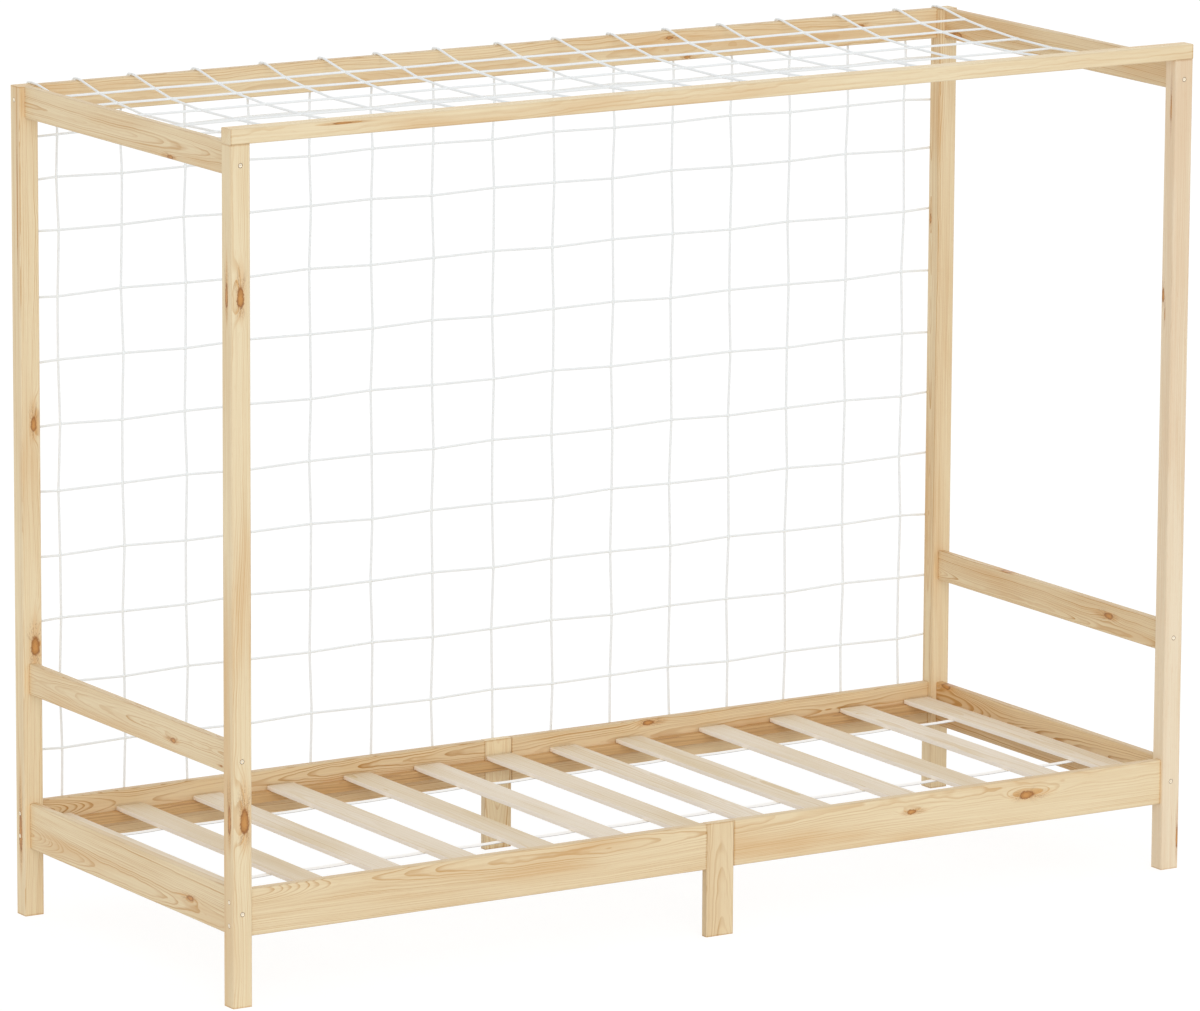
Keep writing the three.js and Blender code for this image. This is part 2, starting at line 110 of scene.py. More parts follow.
a_length = partial(a_number, min=0, precision=5, unit="LENGTH")
a_share = partial(a_number, min=0, max=1, subtype="FACTOR")


class PineSettings(bpy.types.PropertyGroup):
    """Colours and figure of the lacquered pine boards."""

    earlywood: a_colour("Earlywood", "Pale wood of a ring", 247, 229, 191)
    latewood: a_colour("Latewood", "Darker wood that ends a ring", 206, 154, 82)
    knot: a_colour("Knot", "Heart of a knot", 214, 154, 84)
    knot_rim: a_colour("Knot rim", "Bark line round a knot", 130, 68, 14)
    halo: a_colour("Halo", "Resinous wood beside a knot", 222, 168, 98)
    pale: a_colour("Pale", "Greyer wood of a pale board", 246, 229, 207)
    # Wear along the edges, and painted shade on the narrow sides of flat boards, whose tops and bottoms
    # go part way to this colour
    worn: a_colour("Worn", "Handled wood along an edge", 172, 142, 108)
    ring_spacing: a_length("Ring spacing", "Width of one year's growth", 0.0024)
    ring_contrast: a_share("Ring contrast", "Strength of the latewood lines", 0.8)
    wander: a_length("Wander", "How far the pith strays from a straight line", 0.012)
    edge_wear: a_share("Edge wear", "How far an edge goes to the worn colour", 0.2)
    # Painted shade: how far the narrow sides, the tops and bottoms of flat boards, go to that colour
    side_share: a_share("Side share", "How far a narrow side goes to it", 0.2)
    edge_width: a_length("Edge width", "Width of the worn band along an edge", 0.0026)
    # Painted shade: a darker band at each sawn end, for the shade where a board meets another part
    end_width: a_length("End width", "Width of the darkened band at a sawn end", 0.004)


class SlatSettings(bpy.types.PropertyGroup):
    """Colours and figure of the plain slats."""

    earlywood: a_colour("Earlywood", "Pale wood of a ring", 247, 237, 222)
    latewood: a_colour("Latewood", "Darker wood that ends a ring", 216, 189, 138)
    # Painted light: the slats' sides are made paler than their tops, to lift the shade that falls on them
    worn: a_colour("Sawn side", "Paler wood of the sawn sides", 255, 246, 234)
    ring_spacing: a_length("Ring spacing", "Width of one year's growth", 0.0036)
    ring_contrast: a_share("Ring contrast", "Strength of the latewood lines", 0.9)
    edge_wear: a_share("Edge wear", "How far an edge goes to the paler wood", 0.0)
    # Painted light: how far the slats' sides go to that paler colour
    side_share: a_share("Side share", "How far a sawn side goes to it", 0.85)


class NetSettings(bpy.types.PropertyGroup):
    """Cord of the net and how it hangs."""

    cord: a_colour("Cord", "Crown of a yarn", 251, 254, 255)
    # Painted shade: the colour between two yarns is a little darker, for the shade in those creases
    groove: a_colour("Groove", "Between two yarns", 249, 252, 253)
    cord_radius: a_length("Cord radius", "Half of the cord's thickness", 0.00225)
    clearance: a_length("Clearance", "Air between the cord and the wood", 0.00045)
    sag: a_length("Sag", "Dip of the top sheet at its middle", 0.031)
    plait_length: a_length("Plait length", "Distance between two yarns along the cord", 0.005)
    swelling: a_share("Swelling", "Extra thickness where two cords are joined", 0.12)


class TapeSettings(bpy.types.PropertyGroup):
    """Woven tapes under the slats."""

    thread: a_colour("Thread", "Crown of a thread", 255, 253, 250)
    shade: a_colour("Shade", "Between two threads", 244, 242, 238)
    # Painted shade: the tape's edges are painted this grey, for the shade on its narrow sides
    selvedge: a_colour("Selvedge", "The tape's folded edge", 188, 188, 188)
    # Painted light: the thread glows with this strength of its own colour, to look whiter than its
    # lighting makes it
    brightener: a_share("Brightener", "Light that the whitened thread gives back", 0.13)
    pick_spacing: a_length("Pick spacing", "Distance between crossing threads", 0.0009)
    sag: a_length("Sag", "Dip of the tape between two slats", 0.0012)


class FastenerSettings(bpy.types.PropertyGroup):
    """Bolts, staples and screws."""

    # The plating's warm tint is partly its own colour and partly a painted reflection of the wood round
    # the bolts
    steel: a_colour("Steel", "Zinc plated steel", 255, 248, 232)
    dull: a_colour("Dull", "Where the plating has dulled", 247, 232, 204)
    # Dirt, with painted shade in the socket and a painted shadow ring round the rim
    dirt: a_colour("Dirt", "In the socket and round the rim", 140, 102, 62)
    sides: IntProperty(name="Sides", description="Faces round a bolt head", default=36, min=12)
    head_radius: a_length("Head radius", "Half of a bolt head's width", 0.0043)
    socket_radius: a_length("Socket radius", "Half of a socket's width over flats", 0.002)
    wire_radius: a_length("Wire radius", "Half of a staple's wire", 0.0005)


class StageSettings(bpy.types.PropertyGroup):
    """Floor, light and camera."""

    floor: FloatVectorProperty(
        name="Floor", description="Floor and backdrop", default=(0.93, 0.93, 0.93), subtype="COLOR",
        min=0, max=1,
    )
    shadow: a_share("Shadow", "Share of the floor's white that a shadow can take", 0.25)
    daylight: a_number("Daylight", "Light from all round", 0.68, min=0)
    key: a_number("Key", "Light from the front left", 0.73, min=0)
    fill: a_number("Fill", "Light from behind on the right", 0.25, min=0)
    lens: a_number("Lens", "Focal length", 255.79, subtype="DISTANCE_CAMERA")


SETTINGS = {
    "bed_pine": PineSettings,
    "bed_slats": SlatSettings,
    "bed_net": NetSettings,
    "bed_tapes": TapeSettings,
    "bed_fasteners": FastenerSettings,
    "bed_stage": StageSettings,
}


# Node wiring

SOCKET_TYPES = {"VALUE": "NodeSocketFloat", "VECTOR": "NodeSocketVector", "RGBA": "NodeSocketColor"}
MIX_A = 6
MIX_B = 7
MIX_RESULT = 2
# The end values of a smooth step that falls, the mean of noise, and how many layers noise can have
FALLING = (1.0, 0.0)
NOISE_MEAN = 0.5
ONE_LAYER = 1.0
THREE_LAYERS = 3.0


class Term:
    """What comes out of a node, with its arithmetic. Other operands are terms or constants."""

    def __init__(self, wiring, socket):
        self.wiring = wiring
        self.socket = socket

    def step(self, operation, *others, **settings):
        """One step of arithmetic, on vectors if this is one."""
        kind = "ShaderNodeMath" if self.socket.type == "VALUE" else "ShaderNodeVectorMath"
        made = self.wiring.node(kind, enumerate((self, *others)), operation=operation, **settings)
        is_number = "Vector" not in made or operation in ("LENGTH", "DOT_PRODUCT")
        return made["Value" if is_number else "Vector"]

    def scale(self, factor):
        """A vector times a number."""
        values = {0: self, "Scale": factor}
        return self.wiring.node("ShaderNodeVectorMath", values, operation="SCALE")["Vector"]

    def smooth(self, low, high, start=0.0, end=1.0):
        """Goes smoothly from start to end while the number goes from low to high."""
        values = {"Value": self, "From Min": low, "From Max": high, "To Min": start, "To Max": end}
        return self.wiring.node("ShaderNodeMapRange", values, interpolation_type="SMOOTHSTEP")["Result"]

    __add__ = partialmethod(step, "ADD")
    __sub__ = partialmethod(step, "SUBTRACT")
    __mul__ = partialmethod(step, "MULTIPLY")
    __truediv__ = partialmethod(step, "DIVIDE")
    __pow__ = partialmethod(step, "POWER")
    __abs__ = partialmethod(step, "ABSOLUTE")
    times_plus = partialmethod(step, "MULTIPLY_ADD")
    minimum = partialmethod(step, "MINIMUM")
    maximum = partialmethod(step, "MAXIMUM")
    cosine = partialmethod(step, "COSINE")
    length = partialmethod(step, "LENGTH")
    dot = partialmethod(step, "DOT_PRODUCT")
    # From a wave between -1 and 1 to a share
    as_share = partialmethod(times_plus, 0.5, 0.5)


class Wiring:
    """Adds nodes to one tree. A value given to a node is a term to link or a constant to set."""

    def __init__(self, tree):
        self.tree = tree

    def feed(self, sockets, values):
        """Links sockets, or sets their own values, by name or number."""
        for key, value in dict(values).items():
            if isinstance(value, Term):
                self.tree.links.new(value.socket, sockets[key])
            elif sockets[key].type == "RGBA":
                sockets[key].default_value = (*tuple(value)[:3], 1)
            else:
                sockets[key].default_value = value

    def node(self, kind, values=(), **settings):
        """A node with its settings and values. Its outputs come back by name and by number."""
        made = self.tree.nodes.new(kind)
        for name, setting in settings.items():
            setattr(made, name, setting)
        self.feed(made.inputs, values)
        outputs = (*enumerate(made.outputs), *made.outputs.items())
        return {key: Term(self, socket) for key, socket in outputs}

    def mix(self, share, first, second):
        """A colour between two colours."""
        values = {0: share, MIX_A: first, MIX_B: second}
        return self.node("ShaderNodeMix", values, data_type="RGBA")[MIX_RESULT]

    def noise(self, vector, detail=2.0):
        """Noise at one cell per unit of the vector."""
        return self.node("ShaderNodeTexNoise", {"Vector": vector, "Scale": 1.0, "Detail": detail})

    def split(self, vector):
        """The three numbers of a vector."""
        return self.node("ShaderNodeSeparateXYZ", {"Vector": vector})

    def join(self, *numbers):
        """A vector of three numbers, or of one three times."""
        numbers = numbers if len(numbers) > 1 else numbers * 3
        return self.node("ShaderNodeCombineXYZ", enumerate(numbers))["Vector"]

    def group(self, build, values):
        """A shared node group, which build wires up the first time it is asked for.

        The group is named after build. Its inputs are named and typed after the values, and its
        outputs after the terms that build returns.
        """
        tree = bpy.data.node_groups.get(build.__name__)
        if tree is None:
            tree = bpy.data.node_groups.new(build.__name__, "ShaderNodeTree")
            for label, value in values.items():
                tree.interface.new_socket(label, in_out="INPUT", socket_type=socket_type(label, value))
            inner = Wiring(tree)
            results = build(inner, inner.node("NodeGroupInput"))
            for label, term in results.items():
                tree.interface.new_socket(label, in_out="OUTPUT", socket_type=socket_type(label, term))
            inner.node("NodeGroupOutput", results)
        made = self.node("ShaderNodeGroup", values, node_tree=tree)
        return {label: term for label, term in made.items() if isinstance(label, str)}


def socket_type(label, value):
    """The type of a group's socket for a value."""
    if isinstance(value, Term):
        return SOCKET_TYPES[value.socket.type]
    if isinstance(value, Vector):
        return SOCKET_TYPES["VECTOR"]
    return SOCKET_TYPES["RGBA" if label.endswith("Colour") else "VALUE"]


def new_material(name):
    """A material and the wiring of its tree."""
    material = bpy.data.materials.new(name)
    material.use_nodes = True
    return material, Wiring(material.node_tree)


def shade(w, made, shading=()):
    """Feeds the main shader with a group's colour, relief and roughness, and more shading."""
    bump = w.node("ShaderNodeBump", {"Height": made["Height"], "Distance": 1.0, "Strength": 1.0})
    values = {"Base Color": made["Colour"], "Normal": bump["Normal"], **dict(shading)}
    if "Roughness" in made:
        values["Roughness"] = made["Roughness"]
    w.feed(w.tree.nodes["Principled BSDF"].inputs, values)


def colours_of(settings, *keys):
    """Colours of a settings group, under the names of group inputs."""
    return {f"{key.capitalize()} Colour": getattr(settings, key) for key in keys}


def group_material(name, build, places, values, shading):
    """A material from one group, whose inputs in places read those texture coordinates."""
    material, w = new_material(name)
    given = w.node("ShaderNodeTexCoord")
    coordinates = {label: given[place] for label, place in places.items()}
    shade(w, w.group(build, {**coordinates, **values}), shading)
    return material


# Wood

# Noise cells in a metre, across the grain and along it
WANDER_CELLS = (4.0, 4.0, 1.6)
WIGGLE_CELLS = (9.0, 9.0, 6.5)
RIPPLE_CELLS = (34.0, 34.0, 26.0)
FIBRE_CELLS = (320.0, 320.0, 5.0)
DUCT_CELLS = (1100.0, 1100.0, 42.0)
BROAD_CELLS = (16.0, 16.0, 2.4)
FADE_CELLS = (26.0, 26.0, 3.6)
WEAR_CELLS = (90.0, 90.0, 22.0)
WANDER_SHARE = 2.0
WIGGLE_SHARE = 0.45
RIPPLE_SIZE = 0.0018
SEED_STEP = (3.1, 5.7, 9.3)
ACROSS_GRAIN = (1, 1, 0)
# Noise cells in a ring, and how many rings that noise shifts the years by
YEAR_CELLS = 0.31
YEAR_SHIFT = 2.6
# Where in its width a ring darkens, and where it turns pale again
RING_DARKENS = (0.45, 0.93)
RING_ENDS = (0.94, 1.0)
YEAR_POWER = 1.3
WEAKEST_YEAR = 0.35
RINGS_FADE = (0.3, 0.6, 0.4, 1.0)
DUCTS_SHOW = (0.66, 0.74)


def pine_rings(w, given):
    """Growth rings in board space, where Z runs along the grain.

    The pith is a line that leans and wanders past the board. A ring's number is the distance to it,
    less the stem's swelling near knots, over the ring spacing. Within a ring the wood darkens
    slowly and turns pale at once, more in some years and places than in others. Fibres and resin
    ducts are noise drawn out along the grain.
    """
    point, seed = given["Vector"], given["Seed"]
    shift = w.join(seed) * SEED_STEP

    def drawn_out(cells, detail=2.0):
        return w.noise(point.times_plus(cells, shift), detail)

    strays = {
        WANDER_CELLS: given["Wander"] * WANDER_SHARE,
        WIGGLE_CELLS: given["Wander"] * WIGGLE_SHARE,
        RIPPLE_CELLS: RIPPLE_SIZE,
    }
    offset = point - given["Lean"].times_plus(w.join(w.split(point)["Z"]), given["Pith"])
    for cells, size in strays.items():
        offset = offset + (drawn_out(cells, ONE_LAYER)["Color"] - [NOISE_MEAN] * 3).scale(size)
    even = ((offset * ACROSS_GRAIN).length() - given["Push"]) / given["Ring Spacing"]
    years = {"W": even.times_plus(YEAR_CELLS, seed), "Scale": 1.0, "Detail": 1.0}
    uneven = w.node("ShaderNodeTexNoise", years, noise_dimensions="1D")[0]
    ring = uneven.times_plus(YEAR_SHIFT, even)
    within = ring.step("FRACT")
    number = {"W": ring.step("FLOOR") + seed}
    year = w.node("ShaderNodeTexWhiteNoise", number, noise_dimensions="1D")["Value"]
    late = within.smooth(*RING_DARKENS) * within.smooth(*RING_ENDS, *FALLING)
    strength = (year**YEAR_POWER).times_plus(1 - WEAKEST_YEAR, WEAKEST_YEAR)
    return {
        "Latewood": late * (strength * drawn_out(FADE_CELLS)[0].smooth(*RINGS_FADE)),
        "Fibre": drawn_out(FIBRE_CELLS, THREE_LAYERS)[0],
        "Ducts": drawn_out(DUCT_CELLS, ONE_LAYER)[0].smooth(*DUCTS_SHOW),
        "Broad": drawn_out(BROAD_CELLS)[0],
    }


# 2 would give round knots, 1 would give diamonds
KNOT_POINT = 1.8
# A knot is blunt at its lower end and drawn out at its upper end
BLUNT = 1.25
DRAWN_OUT = 0.7
KNOT_CELLS = 260.0
KNOT_UNEVENNESS = 0.7
# How much longer than the knot its halo is
HALO_STRETCH = 1.9
# Ranges from here on are in knot radii or noise, two with the values at their ends
HEART_ENDS = (0.78, 1.12)
CORE_DARKENS = (0.2, 0.95)
CORE_RINGS = 15.0
CORE_LEAST = 0.65
RIM_STARTS = (0.72, 0.96)
RIM_ENDS = (0.98, 1.2)
RIM_CELLS = 1.3
RIM_SHOWS = (0.35, 0.6, 0.15, 0.8)
RIM_ABOVE = 0.4
WHISKER_CELLS = 7.0
WHISKER_SEED = 40.0
WHISKERS_SHOW = (0.47, 0.6)
WHISKERS_ENDWISE = (0.35, 0.95)
WHISKERS_FADE = (1.0, 3.0, 0.9, 0.0)
WHISKERS_START = (0.9, 1.1, 0.0, 0.6)
HALO_ENDS = (0.7, 2.0)
PUSH_ENDS = (0.2, 2.8)
PUSH_SHARE = 0.9


def pine_knot(w, given):
    """A branch cut across: a rod through the board, its section drawn out along the grain.

    The distance from its axis in knot radii gives the heart, which darkens outwards over rings of
    its own, the broken bark line, the resinous halo, and how far the rings outside are pushed round
    it. Whiskers are noise on the direction from the axis alone, so they run outwards, mostly along
    the grain. What earlier knots gave comes in and is passed on with this one added.
    """
    point, centre, axis = given["Vector"], given["Centre"], given["Axis"]
    radius, stretch = given["Radius"], given["Stretch"]
    away = point - centre
    flat = away - axis.scale(away.dot(axis))
    rough = w.noise(point.scale(KNOT_CELLS))["Color"] - [NOISE_MEAN] * 3
    parts = w.split(flat + rough.scale(radius * KNOT_UNEVENNESS))
    below = radius * -1.0

    def lowness(parts):
        return parts["Z"].smooth(below, radius, *FALLING)

    def reach(parts, stretch):
        along = abs(parts["Z"] / stretch) * lowness(parts).times_plus(BLUNT - DRAWN_OUT, DRAWN_OUT)
        aside = w.join(parts["X"], parts["Y"], 0.0).length()
        return (along**KNOT_POINT + aside**KNOT_POINT) ** (1 / KNOT_POINT) / radius

    near = reach(parts, stretch)
    far = reach(w.split(flat), stretch * HALO_STRETCH)
    heart = near.smooth(*HEART_ENDS, *FALLING)
    core = (near * CORE_RINGS).cosine().as_share()
    core = near.smooth(*CORE_DARKENS) * core.times_plus(1 - CORE_LEAST, CORE_LEAST)
    spoke = w.join(parts["X"], parts["Y"], parts["Z"] / stretch).step("NORMALIZE")
    endwise = abs(w.split(spoke)["Z"])
    spoke = spoke + centre.scale(WHISKER_SEED)
    broken = w.noise(spoke.scale(RIM_CELLS), ONE_LAYER)[0]
    hairs = w.noise(spoke.scale(WHISKER_CELLS), ONE_LAYER)[0]
    rim = near.smooth(*RIM_STARTS) * near.smooth(*RIM_ENDS, *FALLING) * broken.smooth(*RIM_SHOWS)
    rim = rim * lowness(parts).times_plus(1 - RIM_ABOVE, RIM_ABOVE)
    hairs = hairs.smooth(*WHISKERS_SHOW) * endwise.smooth(*WHISKERS_ENDWISE)
    hairs = hairs * near.smooth(*WHISKERS_FADE) * near.smooth(*WHISKERS_START)
    halo = far.smooth(*HALO_ENDS, *FALLING)
    push = far.smooth(*PUSH_ENDS, *FALLING) * (radius * PUSH_SHARE)
    added = {"Heart": heart, "Core": core * heart, "Rim": rim.maximum(hairs), "Halo": halo}
    marks = {label: given[label].maximum(mark) for label, mark in added.items()}
    return {**marks, "Push": given["Push"] + push}


# How the wear band and the painted shade at an end vary with the noise, as shares of their widths
WEAR_REACH = (1.6, 0.2)
END_SHADE_REACH = 0.5
# Painted end shade starts just inside the saw's corner, and a narrow side is a thin layer, both in metres
END_SHADE_STARTS = (0.0001, 0.0004)
SIDE_ENDS = (0.0004, 0.0012)


def board_edges(w, given):
    """Nearness to a board's edges, to its sawn ends and to its narrow sides.

    The distance to an edge is the middle one of the distances to the three pairs of faces. Narrow
    points from one narrow side to the other at length one, or is zero on a board without them.
    """
    point, narrow = given["Vector"], given["Narrow"]
    inside = w.split(given["Half Size"] - abs(point))
    x, y, z = (inside[axis] for axis in "XYZ")
    middle = x.minimum(y).maximum(x.maximum(y).minimum(z))
    patchy = w.noise((point + w.join(given["Seed"])) * WEAR_CELLS)[0]
    reach = middle / (given["Width"] * patchy.times_plus(*WEAR_REACH))
    near = w.node("ShaderNodeMath", {0: 1.0, 1: reach}, operation="SUBTRACT", use_clamp=True)
    # Painted shade: a darker band at each sawn end, for the shade where it meets another part
    end_shade_reach = given["End Width"] * (patchy + END_SHADE_REACH)
    # Side masks the narrow sides for painted shading: darker on the boards, paler on the slats
    side = w.join(x, y, z).dot(narrow).smooth(*SIDE_ENDS, *FALLING)
    return {
        "Edge": near["Value"],
        "End": z.smooth(0.0, end_shade_reach, *FALLING) * z.smooth(*END_SHADE_STARTS),
        "Side": side * narrow.length(),
    }


# How much the parts of the wood darken it, make it rougher, and raise it in metres
# End is painted shade at the sawn ends, where a board meets another part
DARKENING = {"Slow": 0.5, "Fine": 0.55, "End": 0.5}
ROUGHENING = {"Latewood": -0.08, "Fine": 0.18, "Heart": -0.12, "Edge": -0.08}
RAISING = {"Latewood": 0.00006, "Fibre": 0.00008, "Heart": 0.00008, "Ducts": -0.00006}
LEAST_LATEWOOD = 0.1
WOOD_ROUGHNESS = 0.56
WARM_PATCHES = (0.5, 0.75)
WARMTH = 0.3
DUCT_SHARE = 0.22
HALO_ON_RINGS = (0.7, 0.4)
CORE_SHARE = 0.72
FIBRE_IN_CORE = 0.1
RIM_SHARE = 0.8


def weighed(parts, weights, start):
    """A start plus parts times their weights."""
    for label, weight in weights.items():
        start = parts[label].times_plus(weight, start)
    return start


def pine_colour(w, given):
    """Colour, roughness and relief of planed wood from its rings, fibres, knots and edges."""
    parts = {**given, "Fine": given["Fibre"] - NOISE_MEAN, "Slow": given["Broad"] - NOISE_MEAN}
    late = weighed(parts, DARKENING, given["Latewood"] * given["Contrast"])
    late = late.step("ADD", LEAST_LATEWOOD, use_clamp=True)
    colour = w.mix(late, given["Earlywood Colour"], given["Latewood Colour"])
    core = given["Fibre"].times_plus(FIBRE_IN_CORE, given["Core"] * CORE_SHARE)
    layers = (
        (given["Broad"].smooth(*WARM_PATCHES) * WARMTH, given["Halo Colour"]),
        (given["Ducts"] * DUCT_SHARE, given["Knot Colour"]),
        (given["Halo"] * given["Latewood"].times_plus(*HALO_ON_RINGS), given["Halo Colour"]),
        (given["Heart"], w.mix(core, given["Knot Colour"], given["Rim Colour"])),
        (given["Rim"] * RIM_SHARE, given["Rim Colour"]),
        (given["Edge"] * given["Wear"], given["Worn Colour"]),
        # Painted shading of the narrow sides: darker on the boards, paler on the slats
        (given["Side"] * given["Side Share"], given["Worn Colour"]),
    )
    for share, over in layers:
        colour = w.mix(share, colour, over)
    roughness = weighed(parts, ROUGHENING, WOOD_ROUGHNESS)
    return {"Colour": colour, "Roughness": roughness, "Height": weighed(parts, RAISING, 0.0)}


# Board space has Z along the grain. Each turn is a cyclic change of axes.
GRAIN_TURNS = {
    "x": Matrix(((0, 1, 0), (0, 0, 1), (1, 0, 0))),
    "y": Matrix(((0, 0, 1), (1, 0, 0), (0, 1, 0))),
    "z": Matrix.Identity(3),
}
AXES = dict(zip("xyz", Matrix.Identity(3)))

# Dowels that stick out of a board belong to its node, at both ends or below, in mm
NO_DOWELS = ((0, 0, 0), (0, 0, 0))
DOWELS_X = ((12, 0, 0), (12, 0, 0))
DOWELS_Y = ((0, 12, 0), (0, 12, 0))
DOWELS_BELOW = ((0, 0, 12), (0, 0, 0))


class Board(NamedTuple):
    """How one board was sawn.

    The pith's place is in board space in mm. A tone above zero is darker, one below zero greyer and
    paler. Figure is how strongly the rings show. Swells are knots that were sawn off beyond an end
    and still bend the rings. A knot is a point on the face in mm, the axis that the branch runs
    along, half its width in mm, and how many times longer than wide it is along the grain.
    """

    grain: str
    pith: tuple
    lean: tuple
    tone: float = 0.0
    knots: tuple = ()
    figure: float = 1.0
    bend: float = 1.0
    dowels: tuple = NO_DOWELS
    swells: tuple = ()


BOARDS = {
    "post_front_left": Board("z", (-38, 46), (0.004, -0.006), 0.0, (
        ((-1011, -407, 1277), "y", 7.6, 2.4),
        ((-1006, -407, 335), "y", 9.2, 2.5),
        ((-1030, -391, 1279), "x", 4.4, 5.0),
        ((-1030, -395, 336), "x", 5.4, 4.8),
    ), 0.75),
    "post_front_right": Board("z", (60, 34), (0.006, 0.004), -0.5, (
        ((991, -394, 1455), "x", 2.2, 11.0),
        ((991, -380, 1101), "x", 3.8, 3.4),
        ((991, -386, 1066), "x", 1.4, 9.0),
        ((1027, -407, 56), "y", 2.6, 8.0),
    ), 0.8),
    "post_rear_left": Board("z", (44, 52), (-0.006, 0.005), 0.04, (
        ((-1005, 374, 923), "y", 6.2, 2.2),
        ((-1005, 374, 506), "y", 9.6, 1.8),
        ((-1030, 390, 148), "x", 5.6, 6.4),
        ((-1030, 383, 1300), "x", 1.6, 60.0),
    ), 0.75),
    "post_rear_right": Board("z", (-32, 5), (0.005, 0.006), 0.1, (
        ((991, 399, 1135), "x", 3.0, 3.0),
    )),
    "front_crossbar": Board("x", (70, 18), (0.006, 0.003), 0.0, (
        ((-809, -407, 1574), "y", 1.8, 11.0),
    ), 0.4, 0.5, DOWELS_BELOW),
    "rear_top_rail": Board("x", (60, -14), (0.008, 0.004), 0.12, (
        ((374, 385, 1539), "y", 3.2, 2.4),
        ((414, 385, 1499), "y", 2.8, 2.4),
        ((809, 385, 1531), "y", 3.6, 2.2),
    ), 0.65, 1.0, DOWELS_X),
    "top_end_rail_left": Board("y", (-3, 4), (-0.006, -0.02), 0.08, (
        ((-1018, -172, 1498), "x", 3.8, 2.6),
    ), 0.85, 0.8, DOWELS_Y),
    "top_end_rail_right": Board("y", (-66, 26), (0.006, 0.01), 0.16, (
        ((1002, 330, 1504), "x", 7.0, 2.4),
    ), 0.8, 0.5, DOWELS_Y),
    "guard_rail_left": Board("y", (2, 9), (0.003, 0.018), 0.09, (
        ((-1018, -173, 442), "x", 4.6, 2.0),
        ((-1018, -346, 430), "x", 1.9, 2.2),
    ), 1.0, 1.0, DOWELS_Y),
    "guard_rail_right": Board("y", (-14, -22), (0.004, 0.024), 0.1, (
        ((1002, -209, 455), "x", 6.4, 2.2),
        ((1002, 142, 478), "x", 1.8, 7.0),
    ), 1.3, 1.3, DOWELS_Y, (((1002, 384, 438), "x", 9.0, 2.2),)),
    "end_board_left": Board("y", (-20, 20), (0.006, -0.022), 0.07, (
        ((-1018, -234, 164), "x", 5.2, 2.2),
    ), 1.1, 0.8, DOWELS_Y, (((-1018, 380, 166), "x", 20.0, 2.0),)),
    "end_board_right": Board("y", (8, -36), (-0.01, -0.03), 0.3, (
        ((1002, 337, 212), "x", 6.0, 2.4),
    ), 1.8, 0.7, DOWELS_Y, (((1002, 366, 200), "x", 21.0, 3.0),)),
    "side_rail_front_left": Board(
        "x", (20, 30), (-0.008, -0.002), 0.09, (), 0.9, swells=(((-1002, -401, 214), "y", 20.0, 1.3),)
    ),
    "side_rail_front_right": Board("x", (40, 34), (0.008, -0.012), 0.05, (
        ((679, -401, 183), "y", 8.0, 2.0),
        ((420, -401, 182), "y", 4.8, 2.1),
    ), 0.6, 0.7),
    # The rear side rails' darker, warmer tones are partly their own wood and partly painted shade with
    # warm bounce light from under the slats
    "side_rail_rear_left": Board(
        "x", (19, 18), (-0.012, 0.012), 0.26, (), 1.4, swells=(((-1010, 385, 202), "y", 21.0, 1.5),)
    ),
    "side_rail_rear_right": Board("x", (14, 16), (-0.013, 0.012), 0.2, (
        ((336, 385, 207), "y", 5.4, 2.2),
    ), 1.1),
    "centre_leg_front": Board("z", (2, 34), (0.0, 0.05), 0.18, dowels=DOWELS_X),
    "centre_leg_rear": Board("z", (-6, 32), (0.01, -0.05), 0.06, dowels=DOWELS_X),
    # The ledgers' dark, warm tones are partly their own wood and partly painted shade, for the shade
    # under the slats
    "ledger_front": Board("x", (30, 34), (0.008, 0.008), 0.45),
    "ledger_rear": Board("x", (-34, 30), (0.006, -0.008), 0.75),
}
MARKS = ("Heart", "Core", "Rim", "Halo", "Push")
# A board is flat when its section is this many times wider than thick
FLAT_SHARE = 1.5


def board_space(node, sawn):
    """The box centre, half size and turn that take a point on a node to its board space."""
    low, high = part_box(node)
    low = low + Vector(sawn.dowels[0]) * MM
    high = high - Vector(sawn.dowels[1]) * MM
    turn = GRAIN_TURNS[sawn.grain]
    return (low + high) / 2, turn @ ((high - low) / 2), turn


def narrow_way(half_size):
    """The direction from one narrow side of a flat board to the other, or zero."""
    wide, thick = max(half_size.xy), min(half_size.xy)
    if wide < FLAT_SHARE * thick:
        return Vector((0, 0, 0))
    return AXES["x"] if half_size.x == wide else AXES["y"]


